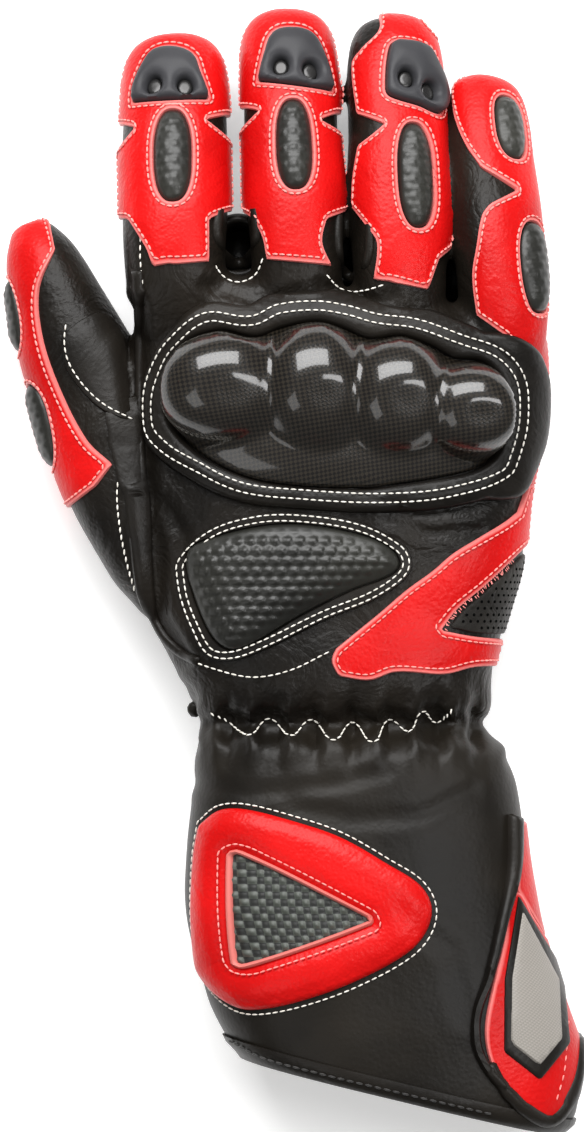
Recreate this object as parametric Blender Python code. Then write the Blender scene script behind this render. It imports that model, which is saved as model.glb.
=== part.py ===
"""A right-hand gauntlet riding glove that lies palm down, fingertips towards +Y and cuff towards -Y.

The leather is a hollow shell cut into the pieces that it is sewn from. Red leather overlays, pads,
finger sliders, the knuckle guard and the closure lie on it with a thin gap. The origin is the flat
palm on the surface, below the middle of the back of the hand.
"""
import math

import bmesh
import bpy
from mathutils import Matrix, Vector

# Driving sizes, in metres
HAND_LENGTH = 0.125
HAND_WIDTH = 0.116
HAND_HEIGHT = 0.042
CUFF_LENGTH = 0.100
CUFF_WIDTH = 0.096
CUFF_HEIGHT = 0.050
FINGER_LENGTH = 0.0765
FINGER_SHARE = 0.2483
FINGER_WIDTH = FINGER_SHARE * HAND_WIDTH
FINGER_ROOT_HEIGHT = 0.027
FINGER_DROP = 0.0205
THUMB_LENGTH = 0.0947
THUMB_WIDTH = 0.029
THUMB_ROOT_HEIGHT = 0.0178
THUMB_DROP = 0.008

# Leather, overlays and clearances, in metres
LEATHER = 0.002
GAP = 0.0003
OVERLAY = 0.0012
SURROUND = 0.0022
PAD = 0.0024
SLIDER = 0.0042
SLIDER_HOLE_RADIUS = 0.0026
GUARD_BASE = 0.0034
GUARD_BUMP = 0.0135
PIPING = 0.0026
BADGE = 0.0016
HEM_HEIGHT = 0.0048
REST_DIP = 0.0016
PUCKER = 0.0011
PALM_SEAM_HEIGHT = 0.015
LOOP_FLOOR = 0.006
LOOP_TOP = 0.0175
FAR = 0.12

# How round the sections are, as the power of a superellipse: 2 is an ellipse, more is squarer
LIMB_ROUND = 2.3
HAND_ROUND = 2.5

# The levels that pieces stop at, in shares of HAND_HEIGHT, CUFF_HEIGHT or the limb's width
BACK_LEVEL = 0.4
SIDE_LEVEL = 0.3
CUFF_LEVEL = 0.2
SLIDER_LIFT = 0.12
FINGER_RED_DEPTH = 0.04
THUMB_RED_DEPTH = 0.10
BUMP_DEPTH = 0.8

# Where the seams run: along a finger in shares of its length, and on the hand in shares of
# HAND_WIDTH and HAND_LENGTH
FINGER_SEAM = 0.03
LITTLE_SEAM = 0.065
SEAM_REACH = 0.54
WRIST_REACH = 0.6
HEM_REACH = 0.7
THUMB_CROTCH = (-0.389, 0.526)
THUMB_BASE = (-0.300, -0.200)
THUMB_SEAM_START = -0.06

# The back of the hand and the wrist, from the gather to the knuckles. Places along and across are
# shares of HAND_LENGTH and HAND_WIDTH from the origin, tops are shares of HAND_HEIGHT, and tilts
# turn a section about the vertical, in degrees, right end towards the cuff.
#    along, centre, width, top, tilt, pucker
HAND_SECTIONS = [
    (-0.350, 0.113, 0.700, 0.95, 0.0, -0.6),
    (-0.310, 0.115, 0.722, 1.06, 0.0, 1.0),
    (-0.262, 0.110, 0.738, 1.10, 0.0, 0.7),
    (-0.205, 0.097, 0.778, 1.10, 0.0, 0.3),
    (-0.112, 0.086, 0.865, 1.07, 0.0, 0.0),
    (0.000, 0.092, 0.915, 1.06, 0.0, 0.0),
    (0.160, 0.092, 0.958, 1.04, 0.0, 0.0),
    (0.320, 0.106, 0.992, 1.01, 0.0, 0.0),
    (0.500, 0.111, 0.990, 0.98, 2.0, 0.0),
    (0.565, 0.110, 0.980, 0.92, 5.0, 0.0),
    (0.605, 0.109, 0.955, 0.82, 8.0, 0.0),
    (0.622, 0.109, 0.900, 0.70, 8.0, 0.0),
]

# The cuff, from the gather down to the mouth. Places are shares of CUFF_LENGTH and CUFF_WIDTH from
# the middle of the wrist, tops are shares of CUFF_HEIGHT.
#    down, centre, width, top, tilt, pucker
CUFF_SECTIONS = [
    (0.035, 0.006, 0.862, 0.89, 0.0, 0.9),
    (0.085, 0.030, 0.905, 0.95, 0.0, 0.6),
    (0.170, 0.048, 0.945, 0.98, 0.5, 0.2),
    (0.300, 0.053, 0.975, 1.01, 1.5, 0.0),
    (0.470, 0.059, 1.015, 1.04, 4.0, 0.0),
    (0.650, 0.095, 1.070, 1.07, 7.0, 0.0),
    (0.840, 0.155, 1.105, 1.08, 10.0, 0.0),
    (0.985, 0.180, 1.040, 1.08, 12.5, 0.0),
    (1.050, 0.190, 0.910, 1.06, 13.5, 0.0),
]

# The fingers. Roots are shares of HAND_WIDTH and HAND_LENGTH, lengths and widths are shares of
# FINGER_LENGTH and FINGER_WIDTH, lean and roll are in degrees.
#    name, across, along, lean, roll, length, width
FINGERS = [
    ("index", -0.280, 0.663, -0.5, 0.0, 0.856, 1.010),
    ("middle", 0.010, 0.663, -2.0, 0.0, 0.956, 0.910),
    ("ring", 0.262, 0.630, -2.1, 16.0, 1.000, 0.915),
    ("little", 0.505, 0.574, -4.8, 36.0, 0.861, 0.830),
]

# One finger from inside the hand to its tip. Lengths are shares of the finger's length, widths and
# heights are shares of its width.
#    along, width, height
FINGER_SECTIONS = [
    (-0.290, 0.72, 0.52),
    (0.000, 0.97, 0.90),
    (0.250, 1.01, 0.92),
    (0.500, 1.00, 0.90),
    (0.720, 0.99, 0.86),
    (0.860, 0.92, 0.78),
    (0.930, 0.76, 0.66),
    (0.968, 0.44, 0.36),
]

# The thumb from inside the hand to its tip, in shares of THUMB_LENGTH and THUMB_WIDTH.
#    along, bow, width, height
THUMB_SECTIONS = [
    (-0.310, 0.230, 0.46, 0.90),
    (-0.190, 0.110, 0.72, 1.16),
    (-0.060, 0.030, 0.94, 1.26),
    (0.110, -0.020, 1.04, 1.24),
    (0.300, -0.050, 1.08, 1.12),
    (0.470, -0.050, 1.08, 1.00),
    (0.640, -0.060, 0.98, 0.92),
    (0.790, -0.045, 0.80, 0.80),
    (0.915, -0.040, 0.62, 0.64),
    (0.995, -0.034, 0.36, 0.38),
]
THUMB_ROOT = (-0.343, 0.058)
THUMB_LEAN = -19.9
THUMB_ROLL = -24.0
FINGER_SIDES = 10
THUMB_SIDES = 12
HAND_SIDES = 24
FLAT_ANGLE = 0.3

# Outlines seen from above. Each point is across and along in shares of the limb's width and length
# from its root, and S marks a sharp corner.
INDEX_RED = [
    (-0.220, 1.030, "S"), (0.240, 1.030, "S"), (0.450, 0.920), (0.600, 0.776),
    (0.620, 0.673, "S"), (0.294, 0.631, "S"), (0.600, 0.520, "S"), (0.630, 0.404),
    (0.630, 0.270, "S"), (0.315, 0.204, "S"), (0.312, 0.024, "S"), (-0.204, 0.001, "S"),
    (-0.261, 0.078, "S"), (-0.424, 0.207, "S"), (-0.630, 0.229, "S"), (-0.630, 0.387),
    (-0.630, 0.480), (-0.486, 0.532, "S"), (-0.358, 0.600, "S"), (-0.630, 0.640, "S"),
    (-0.620, 0.806), (-0.440, 0.940),
]
INDEX_SLIDER = [
    (-0.365, 0.711, "S"), (0.306, 0.721, "S"), (0.230, 0.828), (0.163, 0.905),
    (-0.001, 0.936), (-0.176, 0.924), (-0.275, 0.864), (-0.354, 0.771),
]
MIDDLE_RED = [
    (-0.290, 1.010, "S"), (-0.074, 1.030), (0.160, 1.020, "S"), (0.420, 0.950),
    (0.610, 0.791), (0.620, 0.613, "S"), (0.298, 0.563, "S"), (0.600, 0.500, "S"),
    (0.620, 0.376), (0.620, 0.227, "S"), (0.325, 0.180, "S"), (0.274, 0.092),
    (0.361, 0.003, "S"), (-0.294, 0.034, "S"), (-0.328, 0.119), (-0.406, 0.189, "S"),
    (-0.620, 0.263, "S"), (-0.630, 0.390), (-0.620, 0.505, "S"), (-0.324, 0.606, "S"),
    (-0.620, 0.637, "S"), (-0.620, 0.773), (-0.460, 0.930),
]
MIDDLE_SLIDER = [
    (-0.303, 0.720, "S"), (0.415, 0.677, "S"), (0.352, 0.793), (0.234, 0.890),
    (0.034, 0.915), (-0.148, 0.898), (-0.241, 0.815),
]
RING_RED = [
    (-0.178, 1.030, "S"), (0.200, 1.000), (0.450, 0.900, "S"), (0.620, 0.730),
    (0.620, 0.616), (0.620, 0.379), (0.600, 0.148, "S"), (0.384, 0.080, "S"),
    (0.269, -0.029, "S"), (-0.281, 0.014, "S"), (-0.237, 0.146), (-0.336, 0.209, "S"),
    (-0.465, 0.284, "S"), (-0.444, 0.390), (-0.381, 0.506, "S"), (-0.209, 0.552),
    (-0.113, 0.580, "S"), (-0.380, 0.623, "S"), (-0.404, 0.814), (-0.305, 0.864),
    (-0.121, 0.939),
]
RING_SLIDER = [
    (-0.040, 0.682), (-0.080, 0.708), (-0.024, 0.861), (0.062, 0.882), (0.333, 0.860),
    (0.420, 0.804), (0.480, 0.730), (0.480, 0.640), (0.430, 0.618), (0.249, 0.645),
]
LITTLE_RED = [
    (-0.329, 0.962, "S"), (-0.177, 0.995), (0.120, 1.030), (0.350, 0.960),
    (0.540, 0.780), (0.620, 0.568), (0.640, 0.362), (0.640, 0.164), (0.640, -0.105),
    (0.620, -0.341), (0.540, -0.600), (0.350, -0.760, "S"), (0.019, -0.770, "S"),
    (0.186, -0.563), (0.262, -0.375), (0.182, -0.226, "S"), (0.000, -0.120, "S"),
    (-0.292, -0.022, "S"), (-0.302, 0.141), (-0.235, 0.266), (-0.143, 0.399),
    (-0.043, 0.442, "S"), (0.278, 0.493, "S"), (-0.110, 0.599, "S"), (-0.257, 0.707),
    (-0.341, 0.839),
]
THUMB_RED = [
    (-0.200, 1.050, "S"), (0.120, 1.000, "S"), (0.086, 0.899, "S"), (-0.178, 0.806),
    (-0.298, 0.678), (-0.314, 0.525), (-0.235, 0.340), (-0.081, 0.245, "S"),
    (-0.295, 0.202, "S"), (-0.620, 0.172, "S"), (-0.650, 0.288), (-0.650, 0.443),
    (-0.650, 0.640), (-0.600, 0.790), (-0.450, 0.960),
]
THUMB_PATCH = [
    (-0.123, 0.652, "S"), (0.102, 0.677), (0.306, 0.677), (0.400, 0.630),
    (0.400, 0.560, "S"), (0.208, 0.342, "S"), (-0.009, 0.410), (-0.125, 0.486),
    (-0.185, 0.574),
]

# Outlines on the back of the hand, in shares of HAND_WIDTH and HAND_LENGTH from the origin.
KNUCKLE_SURROUND = [
    (-0.212, 0.571), (-0.101, 0.564), (-0.041, 0.589), (0.058, 0.598), (0.138, 0.587),
    (0.205, 0.569), (0.299, 0.558), (0.393, 0.528), (0.502, 0.485), (0.545, 0.420),
    (0.552, 0.338), (0.540, 0.267), (0.505, 0.193), (0.393, 0.146), (0.224, 0.130),
    (0.019, 0.138), (-0.128, 0.155), (-0.244, 0.206), (-0.325, 0.269), (-0.340, 0.340),
    (-0.330, 0.430), (-0.290, 0.506),
]
KNUCKLE_GUARD = [
    (-0.292, 0.352), (-0.256, 0.484), (-0.176, 0.520), (-0.089, 0.506), (-0.027, 0.526),
    (0.058, 0.538), (0.116, 0.526), (0.186, 0.502), (0.258, 0.508), (0.326, 0.488),
    (0.386, 0.459), (0.450, 0.450), (0.490, 0.412), (0.505, 0.338), (0.490, 0.264),
    (0.450, 0.222), (0.391, 0.202), (0.258, 0.181), (0.126, 0.172), (-0.010, 0.179),
    (-0.109, 0.197), (-0.210, 0.244), (-0.266, 0.296),
]
BACK_FRAME = [
    (-0.278, -0.020), (-0.275, 0.013), (-0.203, 0.081), (-0.089, 0.115), (0.024, 0.118),
    (0.167, 0.096), (0.266, 0.047), (0.287, 0.007), (0.270, -0.029), (0.196, -0.076),
    (0.082, -0.119), (-0.060, -0.184), (-0.145, -0.211), (-0.203, -0.199),
    (-0.244, -0.134), (-0.268, -0.072),
]
BACK_PAD = [
    (-0.244, 0.034), (-0.203, 0.058), (-0.089, 0.085), (0.014, 0.092), (0.140, 0.074),
    (0.222, 0.047), (0.256, 0.007), (0.234, -0.020), (0.140, -0.054), (0.024, -0.108),
    (-0.089, -0.170), (-0.140, -0.186), (-0.179, -0.168), (-0.215, -0.110),
    (-0.244, -0.025),
]
SIDE_FLASH = [
    (0.540, 0.120, "S"), (0.510, 0.098), (0.460, 0.070), (0.384, 0.027),
    (0.336, -0.011), (0.275, -0.052), (0.208, -0.105), (0.104, -0.184, "S"),
    (0.094, -0.211), (0.111, -0.244, "S"), (0.186, -0.253), (0.246, -0.235),
    (0.364, -0.240), (0.437, -0.224), (0.520, -0.224, "S"), (0.560, -0.166, "S"),
    (0.437, -0.157), (0.355, -0.143, "S"), (0.393, -0.096), (0.454, -0.047),
    (0.530, 0.020), (0.590, 0.080, "S"), (0.600, 0.120, "S"),
]
SIDE_INSERT = [
    (0.372, -0.137, "S"), (0.404, -0.099), (0.464, -0.052), (0.536, 0.012),
    (0.600, 0.068, "S"), (0.620, -0.054, "S"), (0.590, -0.152, "S"), (0.442, -0.150),
]

# Outlines on the cuff, across and down in shares of CUFF_WIDTH and CUFF_LENGTH from the wrist.
CUFF_PATCH = [
    (-0.400, 0.283, "S"), (-0.346, 0.241), (-0.276, 0.235), (-0.139, 0.266),
    (0.001, 0.311), (0.139, 0.386), (0.229, 0.442), (0.264, 0.504), (0.249, 0.571),
    (0.194, 0.630), (0.069, 0.697), (-0.069, 0.750), (-0.206, 0.784), (-0.290, 0.784),
    (-0.366, 0.736), (-0.404, 0.672), (-0.421, 0.537), (-0.415, 0.372),
]
CUFF_WEAVE = [
    (-0.311, 0.364), (-0.284, 0.353), (0.092, 0.532), (0.095, 0.546), (-0.255, 0.666),
    (-0.296, 0.661),
]
CUFF_PIPING = [
    (0.488, 0.252, "S"), (0.515, 0.263, "S"), (0.512, 0.414), (0.480, 0.554),
    (0.442, 0.700), (0.410, 0.789), (0.404, 0.873), (0.430, 0.935), (0.490, 1.000),
    (0.466, 1.012), (0.407, 0.946), (0.378, 0.876), (0.384, 0.784), (0.416, 0.694),
    (0.452, 0.549), (0.482, 0.414),
]
CLOSURE_STRAP = [
    (0.518, 0.275, "S"), (0.680, 0.290, "S"), (0.720, 0.480), (0.740, 0.690, "S"),
    (0.648, 0.690, "S"), (0.505, 0.462, "S"),
]
CLOSURE_TAB = [
    (0.501, 0.473, "S"), (0.643, 0.698, "S"), (0.690, 0.778), (0.720, 0.885),
    (0.700, 0.960), (0.640, 0.985, "S"), (0.560, 0.995), (0.512, 0.990), (0.444, 0.929),
    (0.418, 0.873), (0.424, 0.789), (0.456, 0.703), (0.492, 0.566),
]
BADGE_RIM = [
    (0.512, 0.515, "S"), (0.600, 0.650), (0.622, 0.700, "S"), (0.630, 0.860, "S"),
    (0.556, 0.950, "S"), (0.470, 0.880, "S"), (0.470, 0.705, "S"),
]
BADGE_FACE = [
    (0.524, 0.560, "S"), (0.604, 0.710, "S"), (0.608, 0.846, "S"), (0.554, 0.914, "S"),
    (0.490, 0.862, "S"), (0.490, 0.712, "S"),
]

# The knuckle guard's bumps, in shares of HAND_WIDTH and HAND_LENGTH.
#    across, along, half width, half length, height as a share of GUARD_BUMP
GUARD_BUMPS = [
    (-0.150, 0.395, 0.140, 0.150, 0.95),
    (0.058, 0.390, 0.130, 0.165, 1.00),
    (0.246, 0.375, 0.125, 0.155, 0.96),
    (0.410, 0.345, 0.105, 0.120, 0.84),
]

# The leather loops between the fingers, in shares of HAND_WIDTH and HAND_LENGTH.
#    name, across, along, half width, half length
FINGER_LOOPS = [
    ("index_middle_loop", -0.130, 0.715, 0.066, 0.074),
    ("middle_ring_loop", 0.128, 0.708, 0.060, 0.082),
    ("ring_little_loop", 0.392, 0.640, 0.056, 0.078),
]

# Oval pads: limb, name, place along, angle from the top towards +X in degrees, half width as a
# share of the limb's width, half length as a share of its length.
OVAL_PADS = [
    ("index", "index_pad", 0.419, -2.0, 0.185, 0.184),
    ("middle", "middle_pad", 0.429, 3.0, 0.200, 0.165),
    ("ring", "ring_pad", 0.356, 24.0, 0.200, 0.183),
    ("little", "little_upper_pad", 0.730, 40.0, 0.230, 0.140),
    ("little", "little_lower_pad", 0.150, 62.0, 0.260, 0.180),
    ("thumb", "thumb_upper_pad", 0.760, -68.0, 0.220, 0.105),
    ("thumb", "thumb_lower_pad", 0.425, -62.0, 0.230, 0.125),
]

# Holes through the tip sliders, across and along in shares of the finger's width and length.
SLIDER_HOLES = {
    "index": [(-0.179, 0.774), (0.102, 0.769)],
    "middle": [(-0.086, 0.767), (0.209, 0.748)],
    "ring": [(0.120, 0.742), (0.340, 0.694)],
}

# Colour, roughness and metallic value of each material
MATERIALS = {
    "black_leather": ((0.022, 0.019, 0.017), 0.48, 0.0),
    "red_leather": ((0.85, 0.010, 0.008), 0.42, 0.0),
    "embossed_pad": ((0.018, 0.019, 0.018), 0.38, 0.0),
    "slider_plastic": ((0.075, 0.075, 0.085), 0.50, 0.0),
    "carbon_guard": ((0.020, 0.018, 0.014), 0.08, 0.0),
    "weave": ((0.030, 0.032, 0.030), 0.55, 0.0),
    "badge_grey": ((0.28, 0.26, 0.24), 0.50, 0.0),
}


def clear_scene():
    for old in list(bpy.data.objects):
        bpy.data.objects.remove(old, do_unlink=True)


def make_collection(name):
    found = bpy.data.collections.new(name)
    bpy.context.scene.collection.children.link(found)
    return found


clear_scene()
GLOVE = make_collection("glove")
CUTTERS = make_collection("cutters")


def material(slot):
    made = bpy.data.materials.get(slot)
    if made is None:
        colour, roughness, metallic = MATERIALS[slot]
        made = bpy.data.materials.new(slot)
        made.use_nodes = True
        shader = made.node_tree.nodes["Principled BSDF"]
        shader.inputs["Base Color"].default_value = (*colour, 1.0)
        shader.inputs["Roughness"].default_value = roughness
        shader.inputs["Metallic"].default_value = metallic
    return made


def as_cutter(thing):
    thing.hide_render = True
    thing.display_type = "WIRE"
    CUTTERS.objects.link(thing)
    return thing


def mesh_object(name, mesh):
    return as_cutter(bpy.data.objects.new(name, mesh))


def settle(thing):
    """Turn an object's modifiers into its own mesh."""
    graph = bpy.context.evaluated_depsgraph_get()
    solid = bpy.data.meshes.new_from_object(thing.evaluated_get(graph))
    thing.modifiers.clear()
    thing.data = solid


def combine(thing, other, operation, solver="EXACT"):
    """Join, cut or intersect an object with another by a Boolean."""
    step = thing.modifiers.new(operation.title(), "BOOLEAN")
    step.operation = operation
    step.solver = solver
    step.object = other
    settle(thing)


def copy_of(thing, name):
    return mesh_object(name, thing.data.copy())


def ring(centre, across, up, half_width, half_height, sides, power, pucker=0.0):
    """A flattened round of points. Its power squares the corners, and puckers fold every second one."""
    points = []
    for k in range(sides):
        angle = 2.0 * math.pi * k / sides
        c, s = math.cos(angle), math.sin(angle)
        grow = pucker if k % 2 else -pucker
        x = math.copysign(abs(c) ** (2.0 / power), c) * (half_width + grow)
        z = math.copysign(abs(s) ** (2.0 / power), s) * (half_height + grow)
        points.append(centre + across * x + up * z)
    return points


def loft(name, rings):
    """A closed skin through rings that have the same number of points."""
    shape = bmesh.new()
    rows = []
    for points in rings:
        rows.append([shape.verts.new(point) for point in points])
    count = len(rows[0])
    for low, high in zip(rows, rows[1:]):
        for k in range(count):
            shape.faces.new((low[k], low[(k + 1) % count], high[(k + 1) % count], high[k]))
    shape.faces.new(rows[0])
    shape.faces.new(rows[-1])
    bmesh.ops.triangulate(shape, faces=shape.faces)
    bmesh.ops.recalc_face_normals(shape, faces=shape.faces)
    if shape.calc_volume(signed=True) < 0.0:
        bmesh.ops.reverse_faces(shape, faces=shape.faces)
    mesh = bpy.data.meshes.new(name)
    shape.to_mesh(mesh)
    shape.free()
    return mesh_object(name, mesh)


def limb_plan(name):
    """Root, length, width, lean and roll of a finger or of the thumb."""
    if name == "thumb":
        root = Vector((THUMB_ROOT[0] * HAND_WIDTH, THUMB_ROOT[1] * HAND_LENGTH, 0.0))
        return root, THUMB_LENGTH, THUMB_WIDTH, THUMB_LEAN, THUMB_ROLL
    row = next(entry for entry in FINGERS if entry[0] == name)
    root = Vector((row[1] * HAND_WIDTH, row[2] * HAND_LENGTH, 0.0))
    return root, row[5] * FINGER_LENGTH, row[6] * FINGER_WIDTH, row[3], row[4]


def limb_frame(name, along, bow=0.0):
    """Spine point of a limb and its axes: across, forward and up, rolled with the limb."""
    root, length, width, lean, roll = limb_plan(name)
    ahead = Vector((math.sin(math.radians(lean)), math.cos(math.radians(lean)), 0.0))
    side = Vector((ahead.y, -ahead.x, 0.0))
    if name == "thumb":
        height, drop = THUMB_ROOT_HEIGHT, THUMB_DROP
    else:
        height, drop = FINGER_ROOT_HEIGHT, FINGER_DROP
    share = max(along, 0.0)
    fall = drop * share ** 1.5
    slope = -1.5 * drop * share ** 0.5 / length
    point = root + ahead * along * length + side * bow * width
    point.z = height - fall
    forward = (ahead + Vector((0.0, 0.0, slope))).normalized()
    turn = Matrix.Rotation(math.radians(roll), 3, forward)
    across = turn @ side
    up = across.cross(forward)
    return point, across, forward, up


def limb_skin(name, offset):
    """The closed outer form of one finger or of the thumb, grown by an offset."""
    width = limb_plan(name)[2]
    sections = THUMB_SECTIONS if name == "thumb" else [(a, 0.0, w, h) for a, w, h in FINGER_SECTIONS]
    sides = THUMB_SIDES if name == "thumb" else FINGER_SIDES
    rings = []
    for place, (along, bow, wide, high) in enumerate(sections):
        centre, across, forward, up = limb_frame(name, along, bow)
        if place == len(sections) - 1:
            centre = centre + forward * offset
        rings.append(ring(centre, across, up, wide * width / 2 + offset, high * width / 2 + offset,
                          sides, LIMB_ROUND))
    return loft(name + "_skin", rings)


def hand_ring(x, y, width, top, tilt, pucker, offset):
    turn = math.radians(tilt)
    across = Vector((math.cos(turn), -math.sin(turn), 0.0))
    centre = Vector((x, y, (top - REST_DIP) / 2))
    half_height = (top + REST_DIP) / 2 + offset
    return ring(centre, across, Vector((0.0, 0.0, 1.0)), width / 2 + offset, half_height,
                HAND_SIDES, HAND_ROUND, pucker * PUCKER)


def wrist_point():
    along, centre = HAND_SECTIONS[0][:2]
    return Vector((centre * HAND_WIDTH, along * HAND_LENGTH, 0.0))


def hand_skin(offset):
    """The closed outer form of hand and cuff in one, grown by an offset; a smaller one runs out of
    the cuff's mouth."""
    rings = []
    for place, (along, centre, width, top, tilt, pucker) in enumerate(reversed(HAND_SECTIONS)):
        ahead = offset if place == 0 else 0.0
        rings.append(hand_ring(centre * HAND_WIDTH, along * HAND_LENGTH + ahead, width * HAND_WIDTH,
                               top * HAND_HEIGHT, tilt, pucker, offset))
    wrist = wrist_point()
    for down, centre, width, top, tilt, pucker in CUFF_SECTIONS:
        rings.append(hand_ring(wrist.x + centre * CUFF_WIDTH, wrist.y - down * CUFF_LENGTH,
                               width * CUFF_WIDTH, top * CUFF_HEIGHT, tilt, pucker, offset))
    if offset < 0.0:
        past = mouth_forward() * 4 * LEATHER
        rings.append([point + past for point in rings[-1]])
    return loft("hand_skin", rings)


def mouth_forward():
    """The way out of the cuff's mouth."""
    turn = math.radians(CUFF_SECTIONS[-1][4])
    return Vector((-math.sin(turn), -math.cos(turn), 0.0))


ALL_LIMBS = ("hand", "index", "middle", "ring", "little", "thumb")
SKINS = {}


def skin(limbs, offset):
    """Union of the grown forms of some limbs, made once."""
    key = (limbs, offset)
    if key not in SKINS:
        whole = None
        for name in limbs:
            part = hand_skin(offset) if name == "hand" else limb_skin(name, offset)
            if whole is None:
                whole = part
            else:
                combine(whole, part, "UNION")
        SKINS[key] = whole
    return SKINS[key]


def block(name, low, high, matrix=None):
    """A box between two corners, placed by a matrix."""
    shape = bmesh.new()
    bmesh.ops.create_cube(shape, size=1.0)
    size = Vector(high) - Vector(low)
    middle = (Vector(high) + Vector(low)) / 2
    for vert in shape.verts:
        vert.co = Vector((vert.co.x * size.x, vert.co.y * size.y, vert.co.z * size.z)) + middle
        if matrix is not None:
            vert.co = matrix @ vert.co
    mesh = bpy.data.meshes.new(name)
    shape.to_mesh(mesh)
    shape.free()
    return mesh_object(name, mesh)


def axes_matrix(point, across, forward, up):
    turn = Matrix((across, forward, up)).transposed()
    return Matrix.Translation(point) @ turn.to_4x4()


def grow(points, distance):
    """Move each point of an outline outwards, so that a window clears what sits in it."""
    area = 0.0
    for one, two in zip(points, points[1:] + points[:1]):
        area += one[0].x * two[0].y - two[0].x * one[0].y
    outward = 1.0 if area > 0.0 else -1.0
    grown = []
    for k, (point, sharp) in enumerate(points):
        before = (point - points[k - 1][0]).normalized()
        after = (points[(k + 1) % len(points)][0] - point).normalized()
        normal = Vector((before.y, -before.x)) + Vector((after.y, -after.x))
        normal = normal.normalized() * outward
        slant = max(0.5, abs(normal.dot(Vector((before.y, -before.x)))))
        grown.append((point + normal * distance / slant, sharp))
    return grown


def plan_points(limb, outline):
    """An outline's points from above, in metres, each with its sharp mark."""
    points = []
    for entry in outline:
        sharp = len(entry) > 2
        if limb == "hand":
            place = Vector((entry[0] * HAND_WIDTH, entry[1] * HAND_LENGTH))
        elif limb == "cuff":
            wrist = wrist_point()
            place = Vector((wrist.x + entry[0] * CUFF_WIDTH, wrist.y - entry[1] * CUFF_LENGTH))
        else:
            root, length, width, lean, _ = limb_plan(limb)
            ahead = Vector((math.sin(math.radians(lean)), math.cos(math.radians(lean))))
            side = Vector((ahead.y, -ahead.x))
            place = root.xy + ahead * entry[1] * length + side * entry[0] * width
        points.append((place, sharp))
    return points


def prism(name, limb, outline, clearance=0.0):
    """An upright solid over an outline: a filled flat curve with depth, made into a mesh."""
    curve = bpy.data.curves.new(name, "CURVE")
    curve.dimensions = "2D"
    curve.fill_mode = "BOTH"
    curve.extrude = FAR / 2
    curve.resolution_u = 1
    points = plan_points(limb, outline)
    if clearance:
        points = grow(points, clearance)
    spline = curve.splines.new("BEZIER")
    spline.bezier_points.add(len(points) - 1)
    for knot, (place, sharp) in zip(spline.bezier_points, points):
        knot.co = (place.x, place.y, 0.0)
        kind = "VECTOR" if sharp else "AUTO"
        knot.handle_left_type = kind
        knot.handle_right_type = kind
    spline.use_cyclic_u = True
    flat = bpy.data.objects.new(name, curve)
    CUTTERS.objects.link(flat)
    graph = bpy.context.evaluated_depsgraph_get()
    mesh = bpy.data.meshes.new_from_object(flat.evaluated_get(graph))
    bpy.data.objects.remove(flat, do_unlink=True)
    shape = bmesh.new()
    shape.from_mesh(mesh)
    bmesh.ops.remove_doubles(shape, verts=shape.verts, dist=0.00002)
    bmesh.ops.translate(shape, verts=shape.verts, vec=(0.0, 0.0, FAR / 2))
    shape.to_mesh(mesh)
    shape.free()
    return mesh_object(name, mesh)


def oval(name, limb, along, angle, half_width, half_length, clearance=0.0):
    """An oval peg that points out of a limb's spine at an angle from the top."""
    length, width, _, roll = limb_plan(limb)[1:]
    point, across, forward, up = limb_frame(limb, along)
    turn = Matrix.Rotation(math.radians(angle - roll), 3, forward)
    shape = bmesh.new()
    bmesh.ops.create_cone(shape, cap_ends=True, segments=20, radius1=1.0, radius2=1.0, depth=1.0)
    scale = Vector((half_width * width + clearance, half_length * length + clearance, width))
    matrix = axes_matrix(point, turn @ across, forward, turn @ up)
    for vert in shape.verts:
        local = Vector((vert.co.x * scale.x, vert.co.y * scale.y, (vert.co.z + 0.5) * scale.z))
        vert.co = matrix @ local
    mesh = bpy.data.meshes.new(name)
    shape.to_mesh(mesh)
    shape.free()
    return mesh_object(name, mesh)


def limb_upper(limb, below):
    """The space above a limb's rolled middle plane, from a depth below its spine."""
    root, across, _, _ = limb_frame(limb, 0.0)
    tip = limb_frame(limb, 1.0)[0]
    forward = (tip - root).normalized()
    up = across.cross(forward).normalized()
    side = forward.cross(up)
    return block("upper", (-FAR, -FAR, -below), (FAR, FAR, FAR), axes_matrix(root, side, forward, up))


def upper_space(height):
    """The space above a level plane."""
    return block("upper", (-2 * FAR, -2 * FAR, height), (2 * FAR, 2 * FAR, FAR))


def islands(shape):
    """The separate bodies of a mesh, each as its set of vertices."""
    found = []
    left = set(shape.verts)
    while left:
        seed = left.pop()
        island = {seed}
        queue = [seed]
        while queue:
            for edge in queue.pop().link_edges:
                for vert in edge.verts:
                    if vert in left:
                        left.discard(vert)
                        island.add(vert)
                        queue.append(vert)
        found.append(island)
    return found


def largest_body(thing):
    """Keep only the biggest separate body of a mesh."""
    shape = bmesh.new()
    shape.from_mesh(thing.data)
    for island in sorted(islands(shape), key=len)[:-1]:
        bmesh.ops.delete(shape, geom=list(island), context="VERTS")
    shape.to_mesh(thing.data)
    shape.free()


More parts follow.
